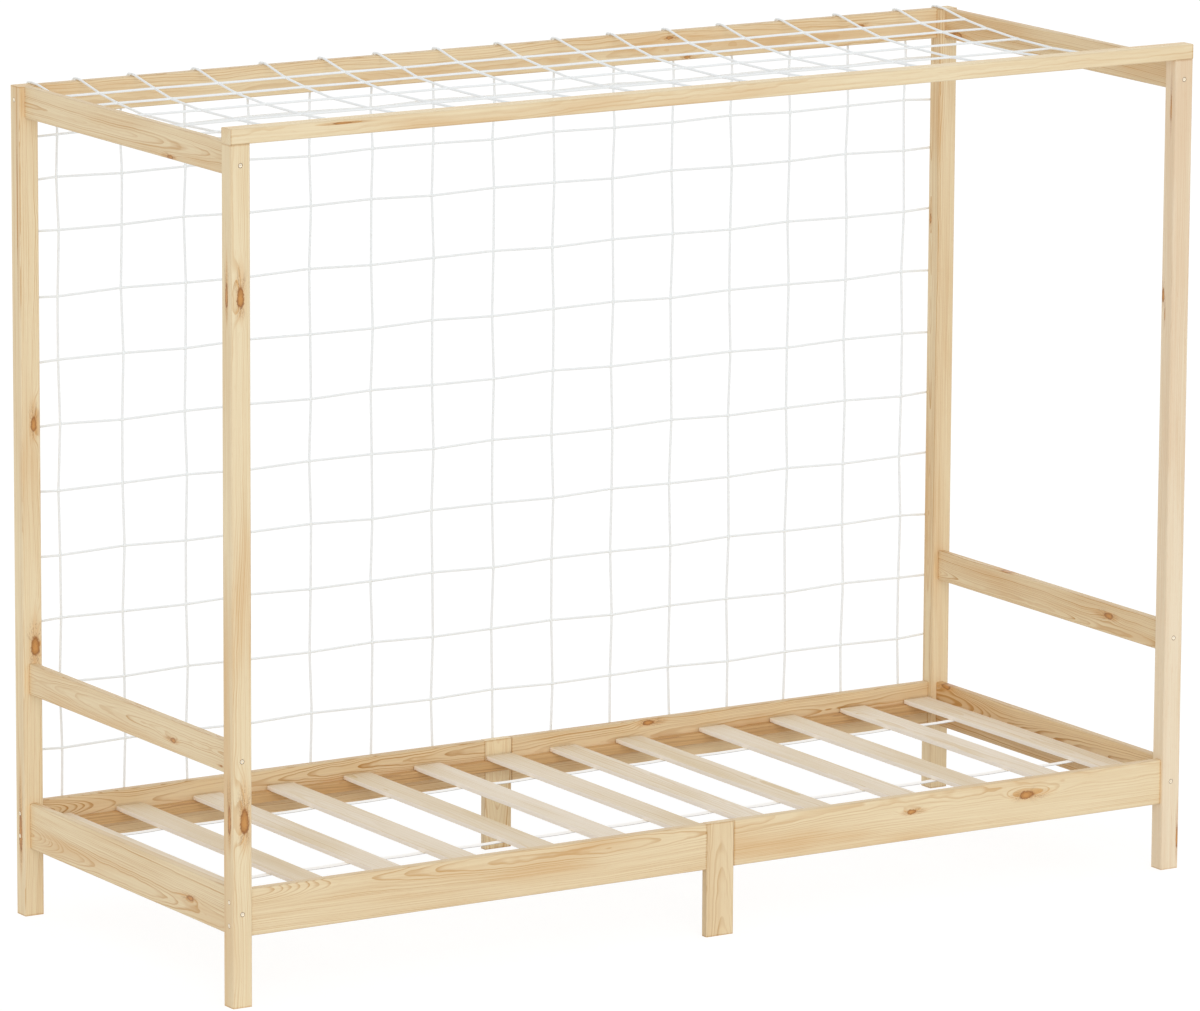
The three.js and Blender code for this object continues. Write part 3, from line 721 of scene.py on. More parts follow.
def wood_material(name, node, sawn, seed, look, early, late, halo):
    """Planed wood for one board, with its own place in the log."""
    centre, half_size, turn = board_space(node, sawn)
    material, w = new_material(name)
    place = w.node("ShaderNodeTexCoord")["Object"]
    mapping = {"Vector": place, "Location": turn @ -centre, "Rotation": turn.to_euler()}
    point = w.node("ShaderNodeMapping", mapping, vector_type="POINT")["Vector"]
    common = {"Vector": point, "Seed": seed}
    marks = dict.fromkeys(MARKS, 0.0)
    for number, (where, axis, radius, stretch) in enumerate((*sawn.swells, *sawn.knots)):
        made = w.group(pine_knot, {
            "Vector": point,
            "Centre": turn @ (Vector(where) * MM - centre),
            "Axis": turn @ AXES[axis],
            "Radius": radius * MM,
            "Stretch": stretch,
            **marks,
        })
        shown = MARKS if number >= len(sawn.swells) else ("Push",)
        marks.update({mark: made[mark] for mark in shown})
    rings = w.group(pine_rings, {
        **common,
        "Pith": Vector((*sawn.pith, 0)) * MM,
        "Lean": Vector((*sawn.lean, 0)),
        "Wander": look["wander"] * sawn.bend,
        "Ring Spacing": look["ring_spacing"],
        "Push": marks.pop("Push"),
    })
    edges = w.group(board_edges, {
        **common,
        "Half Size": half_size,
        "Width": look["edge_width"],
        "End Width": look["end_width"],
        "Narrow": narrow_way(half_size),
    })
    shade(w, w.group(pine_colour, {
        **rings,
        **edges,
        **marks,
        "Contrast": look["ring_contrast"] * sawn.figure,
        "Wear": look["edge_wear"],
        "Side Share": look["side_share"],
        "Earlywood Colour": early,
        "Latewood Colour": late,
        "Halo Colour": halo,
        "Knot Colour": look["knot"],
        "Rim Colour": look["knot_rim"],
        "Worn Colour": look["worn"],
    }))
    return material


def dress(node, material):
    """Gives a CAD node its only material."""
    slots = frame["nodes"][node].data.materials
    slots.clear()
    slots.append(material)


def toned(colour, towards, share):
    """A colour moved a share of the way to another."""
    return tuple(a + (b - a) * share for a, b in zip(colour, towards))


LOOK = (
    "wander", "ring_spacing", "ring_contrast", "edge_width", "end_width", "edge_wear", "side_share",
    "knot", "knot_rim", "worn",
)
# How much darker the latewood of a dark board is
LATEWOOD_TONE = 1.05
BOARD_SEED_STEP = 1.7
SLAT_TONES = (0.3, 0.42, 0.2, 0.28, 0.4, 0.15, 0.3, 0.12, 0.34, 0.2, 0.28, 0.1, 0.2)
SLATS = [f"slat_{number:02d}" for number in range(1, len(SLAT_TONES) + 1)]
SLAT_SEED = 31.0
SLAT_SEED_STEP = 1.3
# Every slat comes from another side of the pith: the turn between two, the distance in mm, the lean
SLAT_TURN = 2.4
SLAT_PITH = (38, 44)
SLAT_LEAN = (0.02, 0.016)


class FinishBoards(bpy.types.Operator):
    """Lacquered pine on every post, rail, board, leg and ledger"""

    bl_idname = "goal_bed.finish_boards"
    bl_label = "Finish Boards"

    def execute(self, context):
        pine = context.scene.bed_pine
        look = {key: getattr(pine, key) for key in LOOK}
        for number, (node, sawn) in enumerate(BOARDS.items()):
            paleness, tone = max(0, -sawn.tone), max(0, sawn.tone)
            early = toned(pine.earlywood, pine.latewood, tone)
            late = toned(pine.latewood, pine.knot_rim, tone * LATEWOOD_TONE)
            colours = (
                toned(early, pine.pale, paleness),
                toned(late, pine.pale, paleness / 2),
                toned(pine.halo, pine.pale, paleness),
            )
            seed = BOARD_SEED_STEP * number
            dress(node, wood_material(f"pine_{node}", node, sawn, seed, look, *colours))
        return {"FINISHED"}


class FinishSlats(bpy.types.Operator):
    """Plain pale wood on the slats, each from another part of the log"""

    bl_idname = "goal_bed.finish_slats"
    bl_label = "Finish Slats"

    def execute(self, context):
        pine = context.scene.bed_pine
        slat = context.scene.bed_slats
        look = {key: getattr(slat if hasattr(slat, key) else pine, key) for key in LOOK}
        for number, (node, tone) in enumerate(zip(SLATS, SLAT_TONES), 1):
            cosine, sine = math.cos(SLAT_TURN * number), math.sin(SLAT_TURN * number)
            pith = (SLAT_PITH[0] * cosine, SLAT_PITH[1] * sine)
            sawn = Board("y", pith, (SLAT_LEAN[0] * sine, SLAT_LEAN[1] * cosine))
            colours = (toned(slat.earlywood, slat.latewood, tone), slat.latewood, slat.latewood)
            seed = SLAT_SEED + SLAT_SEED_STEP * number
            dress(node, wood_material(f"pale_{node}", node, sawn, seed, look, *colours))
        return {"FINISHED"}


# Meshes from arrays

def add_object(name, data):
    """An object in the scene."""
    made = bpy.data.objects.new(name, data)
    bpy.context.scene.collection.objects.link(made)
    return made


def angles(sides):
    """Even angles round a ring."""
    return 2 * np.pi * np.arange(sides) / sides


def unit(vectors):
    """Vectors at length one."""
    return vectors / np.linalg.norm(vectors, axis=-1, keepdims=True)


def tube_rings(lines, across, radii, sides):
    """Rings of points round centre lines.

    lines is (tubes, stations, 3), across a direction to measure angles from, and radii a number or
    one for each station. A point lies at the line plus its radius times the cosine of its angle
    along one normal and the sine along the other.
    """
    run = unit(np.gradient(lines, axis=1))
    first = unit(across - np.sum(across * run, -1, keepdims=True) * run)[:, :, None]
    second = np.cross(run[:, :, None], first)
    angle = angles(sides)[:, None]
    spread = np.cos(angle) * first + np.sin(angle) * second
    return lines[:, :, None] + np.asarray(radii)[..., None, None] * spread


def add_tubes(name, rings, along, material, node=None, girth=1.0):
    """One object of closed tubes through rings of points, (tubes, stations, sides, 3).

    Quads join ring to ring, and a fan round the mean of a ring closes each end. In the UV map U
    runs from 0 to the girth once round a tube, and V is along at each station.
    """
    tubes, stations, sides = rings.shape[:3]
    points = np.concatenate([rings.reshape(tubes, -1, 3), rings[:, [0, -1]].mean(2)], 1)
    start = np.arange(tubes)[:, None, None] * (stations * sides + 2)
    side = np.arange(sides)
    after = (side + 1) % sides
    base = start + np.arange(stations - 1)[:, None] * sides
    quads = np.stack([base + side, base + after, base + sides + after, base + sides + side], -1)
    far = start + (stations - 1) * sides
    middle = far + sides + 0 * side
    near_fan = np.stack([start + after, start + side, middle], -1)
    far_fan = np.stack([far + side, far + after, middle + 1], -1)
    fans = np.concatenate([near_fan, far_fan]).reshape(-1, 3)
    u = girth * np.arange(sides + 1) / sides
    low, high = along[:-1, None], along[1:, None]
    corners = ((u[:-1], low), (u[1:], low), (u[1:], high), (u[:-1], high))
    corners = [np.stack(np.broadcast_arrays(*corner), -1) for corner in corners]
    uv = np.tile(np.stack(corners, -2).reshape(-1, 2), (tubes, 1))
    uv = np.concatenate([uv, np.zeros((fans.size, 2))])

    mesh = bpy.data.meshes.new(name)
    mesh.from_pydata(points.reshape(-1, 3).tolist(), [], quads.reshape(-1, 4).tolist() + fans.tolist())
    mesh.polygons.foreach_set("use_smooth", np.ones(len(mesh.polygons), bool))
    mesh.uv_layers.new(name="along").data.foreach_set("uv", uv.astype(np.float32).ravel())
    mesh.materials.append(material)
    mesh.update()
    piece = add_object(name, mesh)
    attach(piece, BODY)
    if node:
        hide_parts(node)
    return piece


# Net

NET_COLUMNS = 17
MIDDLE_COLUMN = (NET_COLUMNS - 1) / 2
BACK_PITCH = 133.3 * MM
BACK_BORDER_FROM_END = 22 * MM
TOP_BORDER_FROM_END = 36 * MM
TOP_PITCH = (HALF_LENGTH - TOP_BORDER_FROM_END) / MIDDLE_COLUMN
RAIL_CROSSING_SHIFTS = np.array([0, -29, -40, -30, -11, -10, -16, -11, 0, 2, 0, 0, -1, 9, 17, 32, 0]) * MM
BACK_BUNCHED_ROWS = np.array([19, 99, 180, 276]) * MM
BACK_EVEN_ROWS = 9
NET_BOTTOM = BED_RAIL_BOTTOM + 55 * MM
TOP_BUNCHED_ROWS = np.array([112, 187, 290]) * MM
TOP_EVEN_ROWS = 4
TOP_DRIFT = -13 * MM
TOP_DRIFT_REACH = 0.55
CROSSBAR_ROW_RISE = 6 * MM
# The small sway of the knots, and its turns from column to column and from row to row
NET_WAVE = 2.5 * MM
WAVE_ACROSS = 1.7
WAVE_ALONG = 2.3
SHEET_CLEARANCE = 0.3 * MM
CORD_SIDES = 10
YARNS_AROUND = 4
CORD_STEP = 4 * MM
CORD_SOFTNESS = 8 * MM
END_SOFTNESS = 0.1 * MM
INTERLACE = 0.4 * MM
# How far a joint swells a cord, in cord radii
SWELLING_REACH = 2.2


def wave(i, j):
    """The small sway of a knot, from its column and its row."""
    return NET_WAVE * np.sin(WAVE_ACROSS * i + WAVE_ALONG * j)


def row_distances(bunched, even, end):
    """Distances of rows: the bunched ones, then even ones that end at a given distance."""
    return np.concatenate([bunched, np.linspace(bunched[-1], end, even + 1)[1:]])


def net_knots(net):
    """Stations of the two sheets, each with a mask of those that carry a row.

    A sheet is (columns, stations, 3). The back sheet passes over the rail's outer edge and hangs
    straight, its columns spread to their even pitch by the rail's lower edge. The top sheet sags
    as a parabola from the rail to the crossbar, where its last row lies against the bar.
    """
    off = net.cord_radius + net.clearance
    corner = off * math.sqrt(0.5)
    i = np.arange(NET_COLUMNS)[:, None]
    from_middle = i - MIDDLE_COLUMN
    border = abs(from_middle) == MIDDLE_COLUMN
    crossing = from_middle * TOP_PITCH + RAIL_CROSSING_SHIFTS[i]

    rows = row_distances(BACK_BUNCHED_ROWS, BACK_EVEN_ROWS, POST_HEIGHT - NET_BOTTOM)
    drop = np.concatenate([[-off, -off, -corner, 0, rows[0], TOP_RAIL_HEIGHT], rows[1:]])
    back_row = np.isin(drop, rows)
    j = np.arange(len(drop))
    y = np.full(len(drop), HALF_WIDTH + off)
    y[:3] = SPLIT_Y, HALF_WIDTH, HALF_WIDTH + corner
    spread = np.clip(drop / TOP_RAIL_HEIGHT, 0, 1)
    border_x = np.sign(from_middle) * (HALF_LENGTH - BACK_BORDER_FROM_END)
    even = np.where(border, border_x, from_middle * BACK_PITCH)
    x = crossing + (even - crossing) * spread + np.where(border | ~back_row, 0, wave(i, j))
    z = POST_HEIGHT - drop + np.where(back_row, wave(j, i), 0)
    back = np.stack([x, y + 0 * x, z], -1)

    start_y = RAIL_INNER_Y - SHEET_CLEARANCE
    end_y = -(INNER_Y - off)
    rows = row_distances(TOP_BUNCHED_ROWS, TOP_EVEN_ROWS, HALF_WIDTH - end_y)
    station_y = np.concatenate([[SPLIT_Y, start_y], HALF_WIDTH - rows])
    top_row = station_y < start_y
    j = np.arange(len(station_y))
    last = j == len(station_y) - 1
    y = np.where(border & (j == 1), INNER_Y - off, station_y)
    t = np.clip((start_y - y) / (start_y - end_y), 0, 1)
    sag = np.where(border & (j < 2), 0, net.sag * 4 * t * (1 - t))
    drift = np.where(border, 0, TOP_DRIFT * np.sin(np.pi * np.minimum(t / TOP_DRIFT_REACH, 1)))
    free = top_row & ~last
    x = crossing + drift + np.where(free & ~border, wave(i, j), 0)
    z = POST_HEIGHT + off - sag + np.where(last, CROSSBAR_ROW_RISE, 0)
    top = np.stack([x, y + np.where(free, wave(j, i), 0), z], -1)
    return (back, back_row), (top, top_row)


def resampled(knots):
    """Cords through their knots at an even step, softened at each bend.

    knots is (cords, knots, 3). Every stretch between two knots gets the same number of steps on
    all cords. Softening is a weighted mean of near points, with Gaussian weights.
    Returns the lines, and the distances along them of their stations and of the knots.
    """
    gaps = np.linalg.norm(np.diff(knots, axis=1), axis=-1).mean(0)
    counts = np.maximum(np.round(gaps / CORD_STEP).astype(int), 1)
    at = np.concatenate([[0], np.cumsum(counts)])
    steps = np.arange(at[-1] + 1)
    before = np.clip(np.searchsorted(at, steps, side="right") - 1, 0, len(counts) - 1)
    share = ((steps - at[before]) / counts[before])[None, :, None]
    lines = knots[:, before] * (1 - share) + knots[:, before + 1] * share
    distance = np.concatenate([[0], np.cumsum(gaps)])
    along = np.interp(steps, at, distance)
    room = np.minimum(along, along[-1] - along)
    softness = np.minimum(CORD_SOFTNESS, room / 2 + END_SOFTNESS)[:, None]
    weights = np.exp(-(((along[:, None] - along) / softness) ** 2))
    return weights / weights.sum(1, keepdims=True) @ lines, along, distance


def cord_piece(net, name, knots, across, outwards, joined, first_side, material, node):
    """One piece of plaited cords.

    A cord is a round tube. Where another cord crosses, it swells by a Gaussian of the distance
    along it and steps to one side, over and under by turns.
    """
    lines, along, distance = resampled(knots)
    crossing = distance[joined]
    nearness = np.exp(-(((along[:, None] - crossing) / (SWELLING_REACH * net.cord_radius)) ** 2))
    turns = (-1.0) ** (np.arange(len(crossing)) + np.arange(len(lines))[:, None])
    step = first_side * INTERLACE * np.einsum("sk,ck->cs", nearness, turns)
    radii = net.cord_radius * (1 + net.swelling * nearness.max(1))
    rings = tube_rings(lines + step[..., None] * outwards, across, radii, CORD_SIDES)
    add_tubes(name, rings, along, material, node)


# Noise cells of the fuzz and of slow patches, and the shares of the crown, fuzz and patches
FUZZ_CELLS = (22.0, 1500.0, 0.0)
PATCH_CELLS = (1.0, 9.0, 0.0)
PATCH_PLACE = (0.0, 0.0, 5.0)
PLAIT_CROWN = 0.6
PLAIT_FUZZ = 0.3
PLAIT_PATCHES = 0.3
PLAIT_RANGE = (0.0, 0.7)
PLAIT_HEIGHT = 0.00004
CLOTH_SHADING = {"Roughness": 0.85, "Specular IOR Level": 0.3, "Sheen Weight": 0.15}


def cord_plait(w, given):
    """Yarns of a plaited cord, from a UV map with U round the cord and V along it in metres.

    Two families of yarns wind round the cord in opposite directions: each is a cosine of the yarns
    around times U, plus or less V over the plait length, and the higher one of the two shows.
    """
    uv = given["UV"]
    parts = w.split(uv)
    around = parts["X"] * given["Yarns"] * (2 * math.pi)
    onward = parts["Y"] / given["Plait Length"] * (2 * math.pi)
    crown = (around + onward).cosine().maximum((around - onward).cosine()).as_share()
    fuzz = w.noise(uv * FUZZ_CELLS, ONE_LAYER)[0]
    slow = w.noise(uv.times_plus(PATCH_CELLS, PATCH_PLACE))[0]
    share = fuzz.times_plus(PLAIT_FUZZ, crown * PLAIT_CROWN)
    share = (slow - NOISE_MEAN).times_plus(PLAIT_PATCHES, share)
    # Painted shade between the yarns, where the crown's cosine is low
    colour = w.mix(share.smooth(*PLAIT_RANGE), given["Groove Colour"], given["Cord Colour"])
    return {"Colour": colour, "Height": share * PLAIT_HEIGHT}


class MakeNet(bpy.types.Operator):
    """Plaited cords of the net, columns and rows of the back sheet and of the top sheet"""

    bl_idname = "goal_bed.make_net"
    bl_label = "Make Net"

    def execute(self, context):
        net = context.scene.bed_net
        plait = {
            "Yarns": float(YARNS_AROUND),
            "Plait Length": net.plait_length,
            **colours_of(net, "cord", "groove"),
        }
        material = group_material("net_cord", cord_plait, {"UV": "UV"}, plait, CLOTH_SHADING)
        along_x, to_back, up = np.eye(3)
        every = np.ones(NET_COLUMNS, bool)
        sheets = zip(("net_back", "net_top"), net_knots(net), (to_back, up), (up, to_back))
        for node, (knots, has_row), outwards, across in sheets:
            columns = ("columns", knots, along_x, has_row, 1)
            rows = ("rows", knots[:, has_row].transpose(1, 0, 2), across, every, -1)
            for kind, lines, reference, joined, first_side in (columns, rows):
                name = f"{node}_{kind}"
                cord_piece(net, name, lines, reference, outwards, joined, first_side, material, node)
        return {"FINISHED"}


# Tapes

TAPE_SIDES = 16
TAPE_STEP = 6 * MM
TAPE_ROUNDING = 6.0
SHADED_EDGE_TURN = (0.8, 0.9)
WEAVE_CELLS = 900.0
WEAVE_CROWN = 0.7
WEAVE_FUZZ = 0.4
WEAVE_RANGE = (0.1, 0.85)
WEAVE_HEIGHT = 0.00003


def webbing(w, given):
    """Plain weave from a UV map in metres, U round the tape and V along it.

    The weave is the product of two sines. The edges get painted shade where the cosine of U's turn
    is nearly one either way.
    """
    parts = w.split(given["UV"])
    turn = parts["X"] / given["Round"] * (2 * math.pi)
    # Painted shade on the tape's edges, for the shade on its narrow sides
    selvedge = abs(turn.cosine()).smooth(*SHADED_EDGE_TURN)
    sines = [(parts[k] * math.pi / given["Spacing"]).step("SINE") for k in "XY"]
    crown = (sines[0] * sines[1]).as_share()
    fuzz = w.noise(given["UV"].scale(WEAVE_CELLS))[0]
    share = fuzz.times_plus(WEAVE_FUZZ, crown * WEAVE_CROWN)
    colour = w.mix(share.smooth(*WEAVE_RANGE), given["Shade Colour"], given["Thread Colour"])
    colour = w.mix(selvedge, colour, given["Selvedge Colour"])
    return {"Colour": colour, "Height": share * WEAVE_HEIGHT}


def slat_edges():
    """X of both edges of every slat, from left to right."""
    return np.array([corner.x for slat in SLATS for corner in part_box(slat)])


def slat_centres():
    """X of the middle of every slat."""
    return slat_edges().reshape(-1, 2).mean(1)


def tape_rings(low, high, sag):
    """Rings of a ribbon with round edges, carried along a line that dips between the slats.

    The section is a superellipse. The line drops by the sag times a parabola in each gap.
    """
    x = np.linspace(low.x, high.x, int(round((high.x - low.x) / TAPE_STEP)) + 1)[:, None]
    edges = slat_edges()
    gap = np.clip(np.searchsorted(edges, x, side="right"), 1, len(edges) - 1)
    share = np.clip((x - edges[gap - 1]) / (edges[gap] - edges[gap - 1]), 0, 1)
    dip = np.where(gap % 2 == 0, 4 * share * (1 - share), 0)
    cosine, sine = np.cos(angles(TAPE_SIDES)), np.sin(angles(TAPE_SIDES))
    across, upwards = (np.sign(part) * np.abs(part) ** (2 / TAPE_ROUNDING) for part in (cosine, sine))
    half, middle = (high - low) / 2, (low + high) / 2
    y = middle.y - half.y * across
    z = middle.z + half.z * upwards - sag * dip
    return np.stack(np.broadcast_arrays(x, y, z), -1)


class MakeTapes(bpy.types.Operator):
    """Woven tapes that hold the slats in a roll"""

    bl_idname = "goal_bed.make_tapes"
    bl_label = "Make Tapes"

    def execute(self, context):
        tape = context.scene.bed_tapes
        boxes = {side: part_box(f"slat_tape_{side}") for side in ("front", "rear")}
        low, high = boxes["front"]
        girth = 2 * (high.y - low.y + high.z - low.z)
        weave = {
            "Spacing": tape.pick_spacing,
            "Round": girth,
            **colours_of(tape, "thread", "shade", "selvedge"),
        }
        # Painted light: the tape glows a little in its thread colour, though it is no lamp
        white = {"Emission Color": tape.thread, "Emission Strength": tape.brightener}
        shading = {**CLOTH_SHADING, **white}
        material = group_material("tape_webbing", webbing, {"UV": "UV"}, weave, shading)
        for side, (low, high) in boxes.items():
            rings = tape_rings(low, high, tape.sag)
            along = rings[:, 0, 0] - low.x
            add_tubes(f"tape_{side}", rings[None], along, material, f"slat_tape_{side}", girth)
        return {"FINISHED"}


# Fasteners

# V of the UV map: the socket's grime and painted shade end, the rim's grime and painted shadow
# start, and staples lie between the two
SOCKET_DIRT_AND_SHADE = (0.42, 0.5, 0.2, 0.0)
RIM_DIRT_AND_SHADE = (0.74, 0.9, 0.0, 0.9)
UNMARKED_STEEL = 0.7
PATCHES_IN_METRE = 420.0
GRAINS_IN_METRE = 3000.0
DULL_SHOWS = (0.4, 0.7)
STEEL_ROUGHNESS = 0.3
DULL_ROUGHNESS = 0.16
STEEL_RELIEF = 0.00001


def plating(w, given):
    """Dull patches on plated steel, and grime with painted shade where the UV map's V comes near 0 or 1.
    """
    outwards = w.split(given["UV"])["Y"]
    dirt = outwards.smooth(*SOCKET_DIRT_AND_SHADE).maximum(outwards.smooth(*RIM_DIRT_AND_SHADE))
    dull = w.noise(given["Vector"].scale(PATCHES_IN_METRE), THREE_LAYERS)[0].smooth(*DULL_SHOWS)
    fine = w.noise(given["Vector"].scale(GRAINS_IN_METRE), ONE_LAYER)[0]
    colour = w.mix(dull, given["Steel Colour"], given["Dull Colour"])
    return {
        "Colour": w.mix(dirt, colour, given["Dirt Colour"]),
        "Roughness": dull.times_plus(DULL_ROUGHNESS, STEEL_ROUGHNESS),
        "Height": fine * STEEL_RELIEF,
    }


def steel_material(fasteners):
    """Plated steel, made once."""
    colours = colours_of(fasteners, "steel", "dull", "dirt")
    name, places = "plated_steel", {"Vector": "Object", "UV": "UV"}
    made = bpy.data.materials.get(name)
    return made or group_material(name, plating, places, colours, {"Metallic": 1.0})


UPWARDS = np.array([0.0, 0.0, 1.0])
SHARP_ANGLE = math.radians(40)


def add_turned(fasteners, name, centres, inwards, rings, widest, node=None):
    """Steel pieces turned about a line, given as rings of a depth and radii.

    A point lies at its piece's centre plus the depth inwards, plus its radius times the cosine of
    its angle across and the sine along the third direction. V is the radius's share of the widest.
    """
    depths = np.array([depth for depth, _ in rings])[:, None, None]
    radii = np.array([radii for _, radii in rings])
    angle = angles(fasteners.sides)[:, None]
    across = np.cross(inwards, UPWARDS)
    ring = np.cos(angle) * across + np.sin(angle) * np.cross(inwards, across)
    points = centres[:, None, None] + depths * inwards + radii[..., None] * ring
    share = np.minimum(radii.mean(1) / widest, 1)
    piece = add_tubes(name, points, share, steel_material(fasteners), node)
    piece.data.set_sharp_from_angle(angle=SHARP_ANGLE)


# A bolt from its socket to the end of its sleeve: how far in, how wide as a round, and how wide
# as a hexagon, the first in mm and the others in socket or head radii
SOCKET_RINGS = ((1.5, 0, 0.2), (1.5, 0, 1), (0.3, 0, 1), (0.0, 0.25, 1))
HEAD_RINGS = ((0.0, 0.78), (0.08, 0.88), (0.3, 0.96), (0.7, 1.0), (2.2, 1.0))
HEAD_THICKNESS = 2.2 * MM
SHANK_RADIUS = 3.0 * MM
SLEEVE_RADIUS = 5.0 * MM
SLEEVE_LENGTH = 14.0 * MM
FLAT_ANGLE = math.pi / 3


def bolt_rings(fasteners, length):
    """Depth and radii of a bolt's rings.

    A hexagon's radius is its half width over the cosine of the angle from the middle of a flat.
    """
    from_flat = (angles(fasteners.sides) + FLAT_ANGLE / 2) % FLAT_ANGLE - FLAT_ANGLE / 2
    hexagon = fasteners.socket_radius / np.cos(from_flat)
    circle = np.ones(fasteners.sides)
    rings = [
        (depth * MM, share * hexagon + extra * fasteners.socket_radius)
        for depth, extra, share in SOCKET_RINGS
    ]
    rings += [(depth * MM, fasteners.head_radius * share * circle) for depth, share in HEAD_RINGS]
    sleeve = length - SLEEVE_LENGTH
    rings += [(depth, SHANK_RADIUS * circle) for depth in (HEAD_THICKNESS, sleeve)]
    return rings + [(depth, SLEEVE_RADIUS * circle) for depth in (sleeve, length)]


class MakeBolts(bpy.types.Operator):
    """Bolts with round heads and hexagon sockets"""

    bl_idname = "goal_bed.make_bolts"
    bl_label = "Make Bolts"

    def execute(self, context):
        fasteners = context.scene.bed_fasteners
        for node in sorted(n for n in frame["nodes"] if n.startswith("bolt_")):
            low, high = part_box(node)
            size = high - low
            axis = max(range(3), key=lambda k: size[k])
            centre = (low + high) / 2
            inwards = -math.copysign(1, centre[axis]) * np.eye(3)[axis]
            head = np.array([centre - Vector(inwards) * size[axis] / 2])
            rings = bolt_rings(fasteners, size[axis])
            name = f"turned_{node}"
            add_turned(fasteners, name, head, inwards, rings, fasteners.head_radius, node)
        return {"FINISHED"}


# Staples: half of the crown, how deep the legs go, the corner's radius, and the bite into a cord
STAPLE_HALF = 5.5 * MM
STAPLE_DEPTH = 6.0 * MM
STAPLE_CORNER = 0.9 * MM
STAPLE_BITE = 0.3 * MM
STAPLE_SIDES = 8
STAPLE_CORNER_STEPS = 5
# The first station of the back sheet that hangs down the posts
HANGING = 4


def add_staples(fasteners, name, crowns, along, inwards, reach):
    """One piece of staples: a leg, a quarter circle, the crown, a quarter circle and a leg each.

    crowns is (staples, 3), the middle of each crown. along is the way that the crown lies and
    inwards the way that the legs point. reach is the depth of the legs' points below the crown.
    """
    turn = np.linspace(0, np.pi / 2, STAPLE_CORNER_STEPS)
    side = np.concatenate([[STAPLE_HALF], STAPLE_HALF - STAPLE_CORNER * (1 - np.cos(turn))])
    depth = np.concatenate([[reach], STAPLE_CORNER * (1 - np.sin(turn))])
    side = np.concatenate([-side, side[::-1]])[:, None]
    depth = np.concatenate([depth, depth[::-1]])[:, None]
    lines = crowns[:, None] + side * along + depth * inwards
    rings = tube_rings(lines, np.cross(along, inwards), fasteners.wire_radius, STAPLE_SIDES)
    unmarked = np.full(len(side), UNMARKED_STEEL)
    add_tubes(name, rings, unmarked, steel_material(fasteners))


class MakeStaples(bpy.types.Operator):
    """Wire staples that hold the net to the posts and the crossbar, and the tapes to the slats"""

    bl_idname = "goal_bed.make_staples"
    bl_label = "Make Staples"

    def execute(self, context):
        fasteners = context.scene.bed_fasteners
        net = context.scene.bed_net
        wire = fasteners.wire_radius
        over_cord = 2 * net.cord_radius + net.clearance + wire - STAPLE_BITE
        reach = STAPLE_DEPTH + over_cord
        back, top = (knots for knots, _ in net_knots(net))
        along_x, along_y, along_z = np.eye(3)
        hanging = back[:, HANGING:]
        crowns = (hanging[:, :-1] + hanging[:, 1:])[[0, -1]].reshape(-1, 3) / 2
        crowns[:, 1] = HALF_WIDTH + over_cord
        add_staples(fasteners, "staples_posts", crowns, along_x, -along_y, reach)
        against = top[:, -1]
        crowns = (against[:-1] + against[1:]) / 2
        crowns[:, 1] = -INNER_Y + over_cord
        add_staples(fasteners, "staples_crossbar", crowns, along_z, -along_y, reach)
        x = slat_centres()
        for side in ("front", "rear"):
            low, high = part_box(f"slat_tape_{side}")
            crowns = np.stack(np.broadcast_arrays(x, (low.y + high.y) / 2, low.z - wire), -1)
            reach = STAPLE_DEPTH + high.z - low.z
            add_staples(fasteners, f"staples_tape_{side}", crowns, along_y, along_z, reach)
        return {"FINISHED"}


# Screws: depth and radius of the rings in mm, and how deep the star of the recess cuts in
SCREW_RECESS = ((1.6, 0.9), (1.2, 1.3), (0.05, 1.5))
SCREW_HEAD = ((-0.05, 1.75), (-0.05, 3.3), (0.25, 3.6), (2.4, 1.7), (27.0, 1.5), (30.0, 0.3))
SCREW_WIDEST = 3.6 * MM
SCREW_LOBES = 6
SCREW_STAR = 0.16
SCREW_FROM_MIDDLE = 20 * MM


class MakeScrews(bpy.types.Operator):
    """Countersunk screws with star recesses that hold the ledgers to the rails"""

    bl_idname = "goal_bed.make_screws"
    bl_label = "Make Screws"

    def execute(self, context):
        fasteners = context.scene.bed_fasteners
        star = 1 + SCREW_STAR * np.cos(SCREW_LOBES * angles(fasteners.sides))
        rings = [(depth * MM, radius * MM * star) for depth, radius in SCREW_RECESS]
        rings += [(depth * MM, radius * MM + 0 * star) for depth, radius in SCREW_HEAD]
        x = slat_centres()[0::2] + SCREW_FROM_MIDDLE
        for node, outwards in (("ledger_front", 1), ("ledger_rear", -1)):
            low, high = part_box(node)
            face = high.y if outwards > 0 else low.y
            heads = np.stack(np.broadcast_arrays(x, face, (low.z + high.z) / 2), -1)
            inwards = np.array([0, -outwards, 0])
            add_turned(fasteners, f"screws_{node}", heads, inwards, rings, SCREW_WIDEST)
        return {"FINISHED"}


# Stage

CAMERA_AT = (-8.2423, -13.1887, 3.8819)
CAMERA_AZIMUTH = math.radians(-31.958)
CAMERA_ELEVATION = math.radians(11.433)
CAMERA_ROLL = math.radians(0.317)
CAMERA_SENSOR = 36
CAMERA_CLIP_END = 300
FLOOR_HALF = 60.0
# What the open floor sends back of a share of white
FLOOR_LIT = 0.66
# The way a lamp shines, and how wide it looks in degrees
LAMPS = {"key": ((0.42, 0.86, -0.45), 50), "fill": ((-0.6, -0.7, -0.5), 60)}
WHITE = (1, 1, 1)


def seen_as_white(w):
    """What a ray is, and whether it looks at the stage straight on or through a gloss."""
    path = w.node("ShaderNodeLightPath")
    seen = path["Is Camera Ray"].maximum(path["Is Glossy Ray"])
    return path, seen.maximum(path["Is Transmission Ray"])


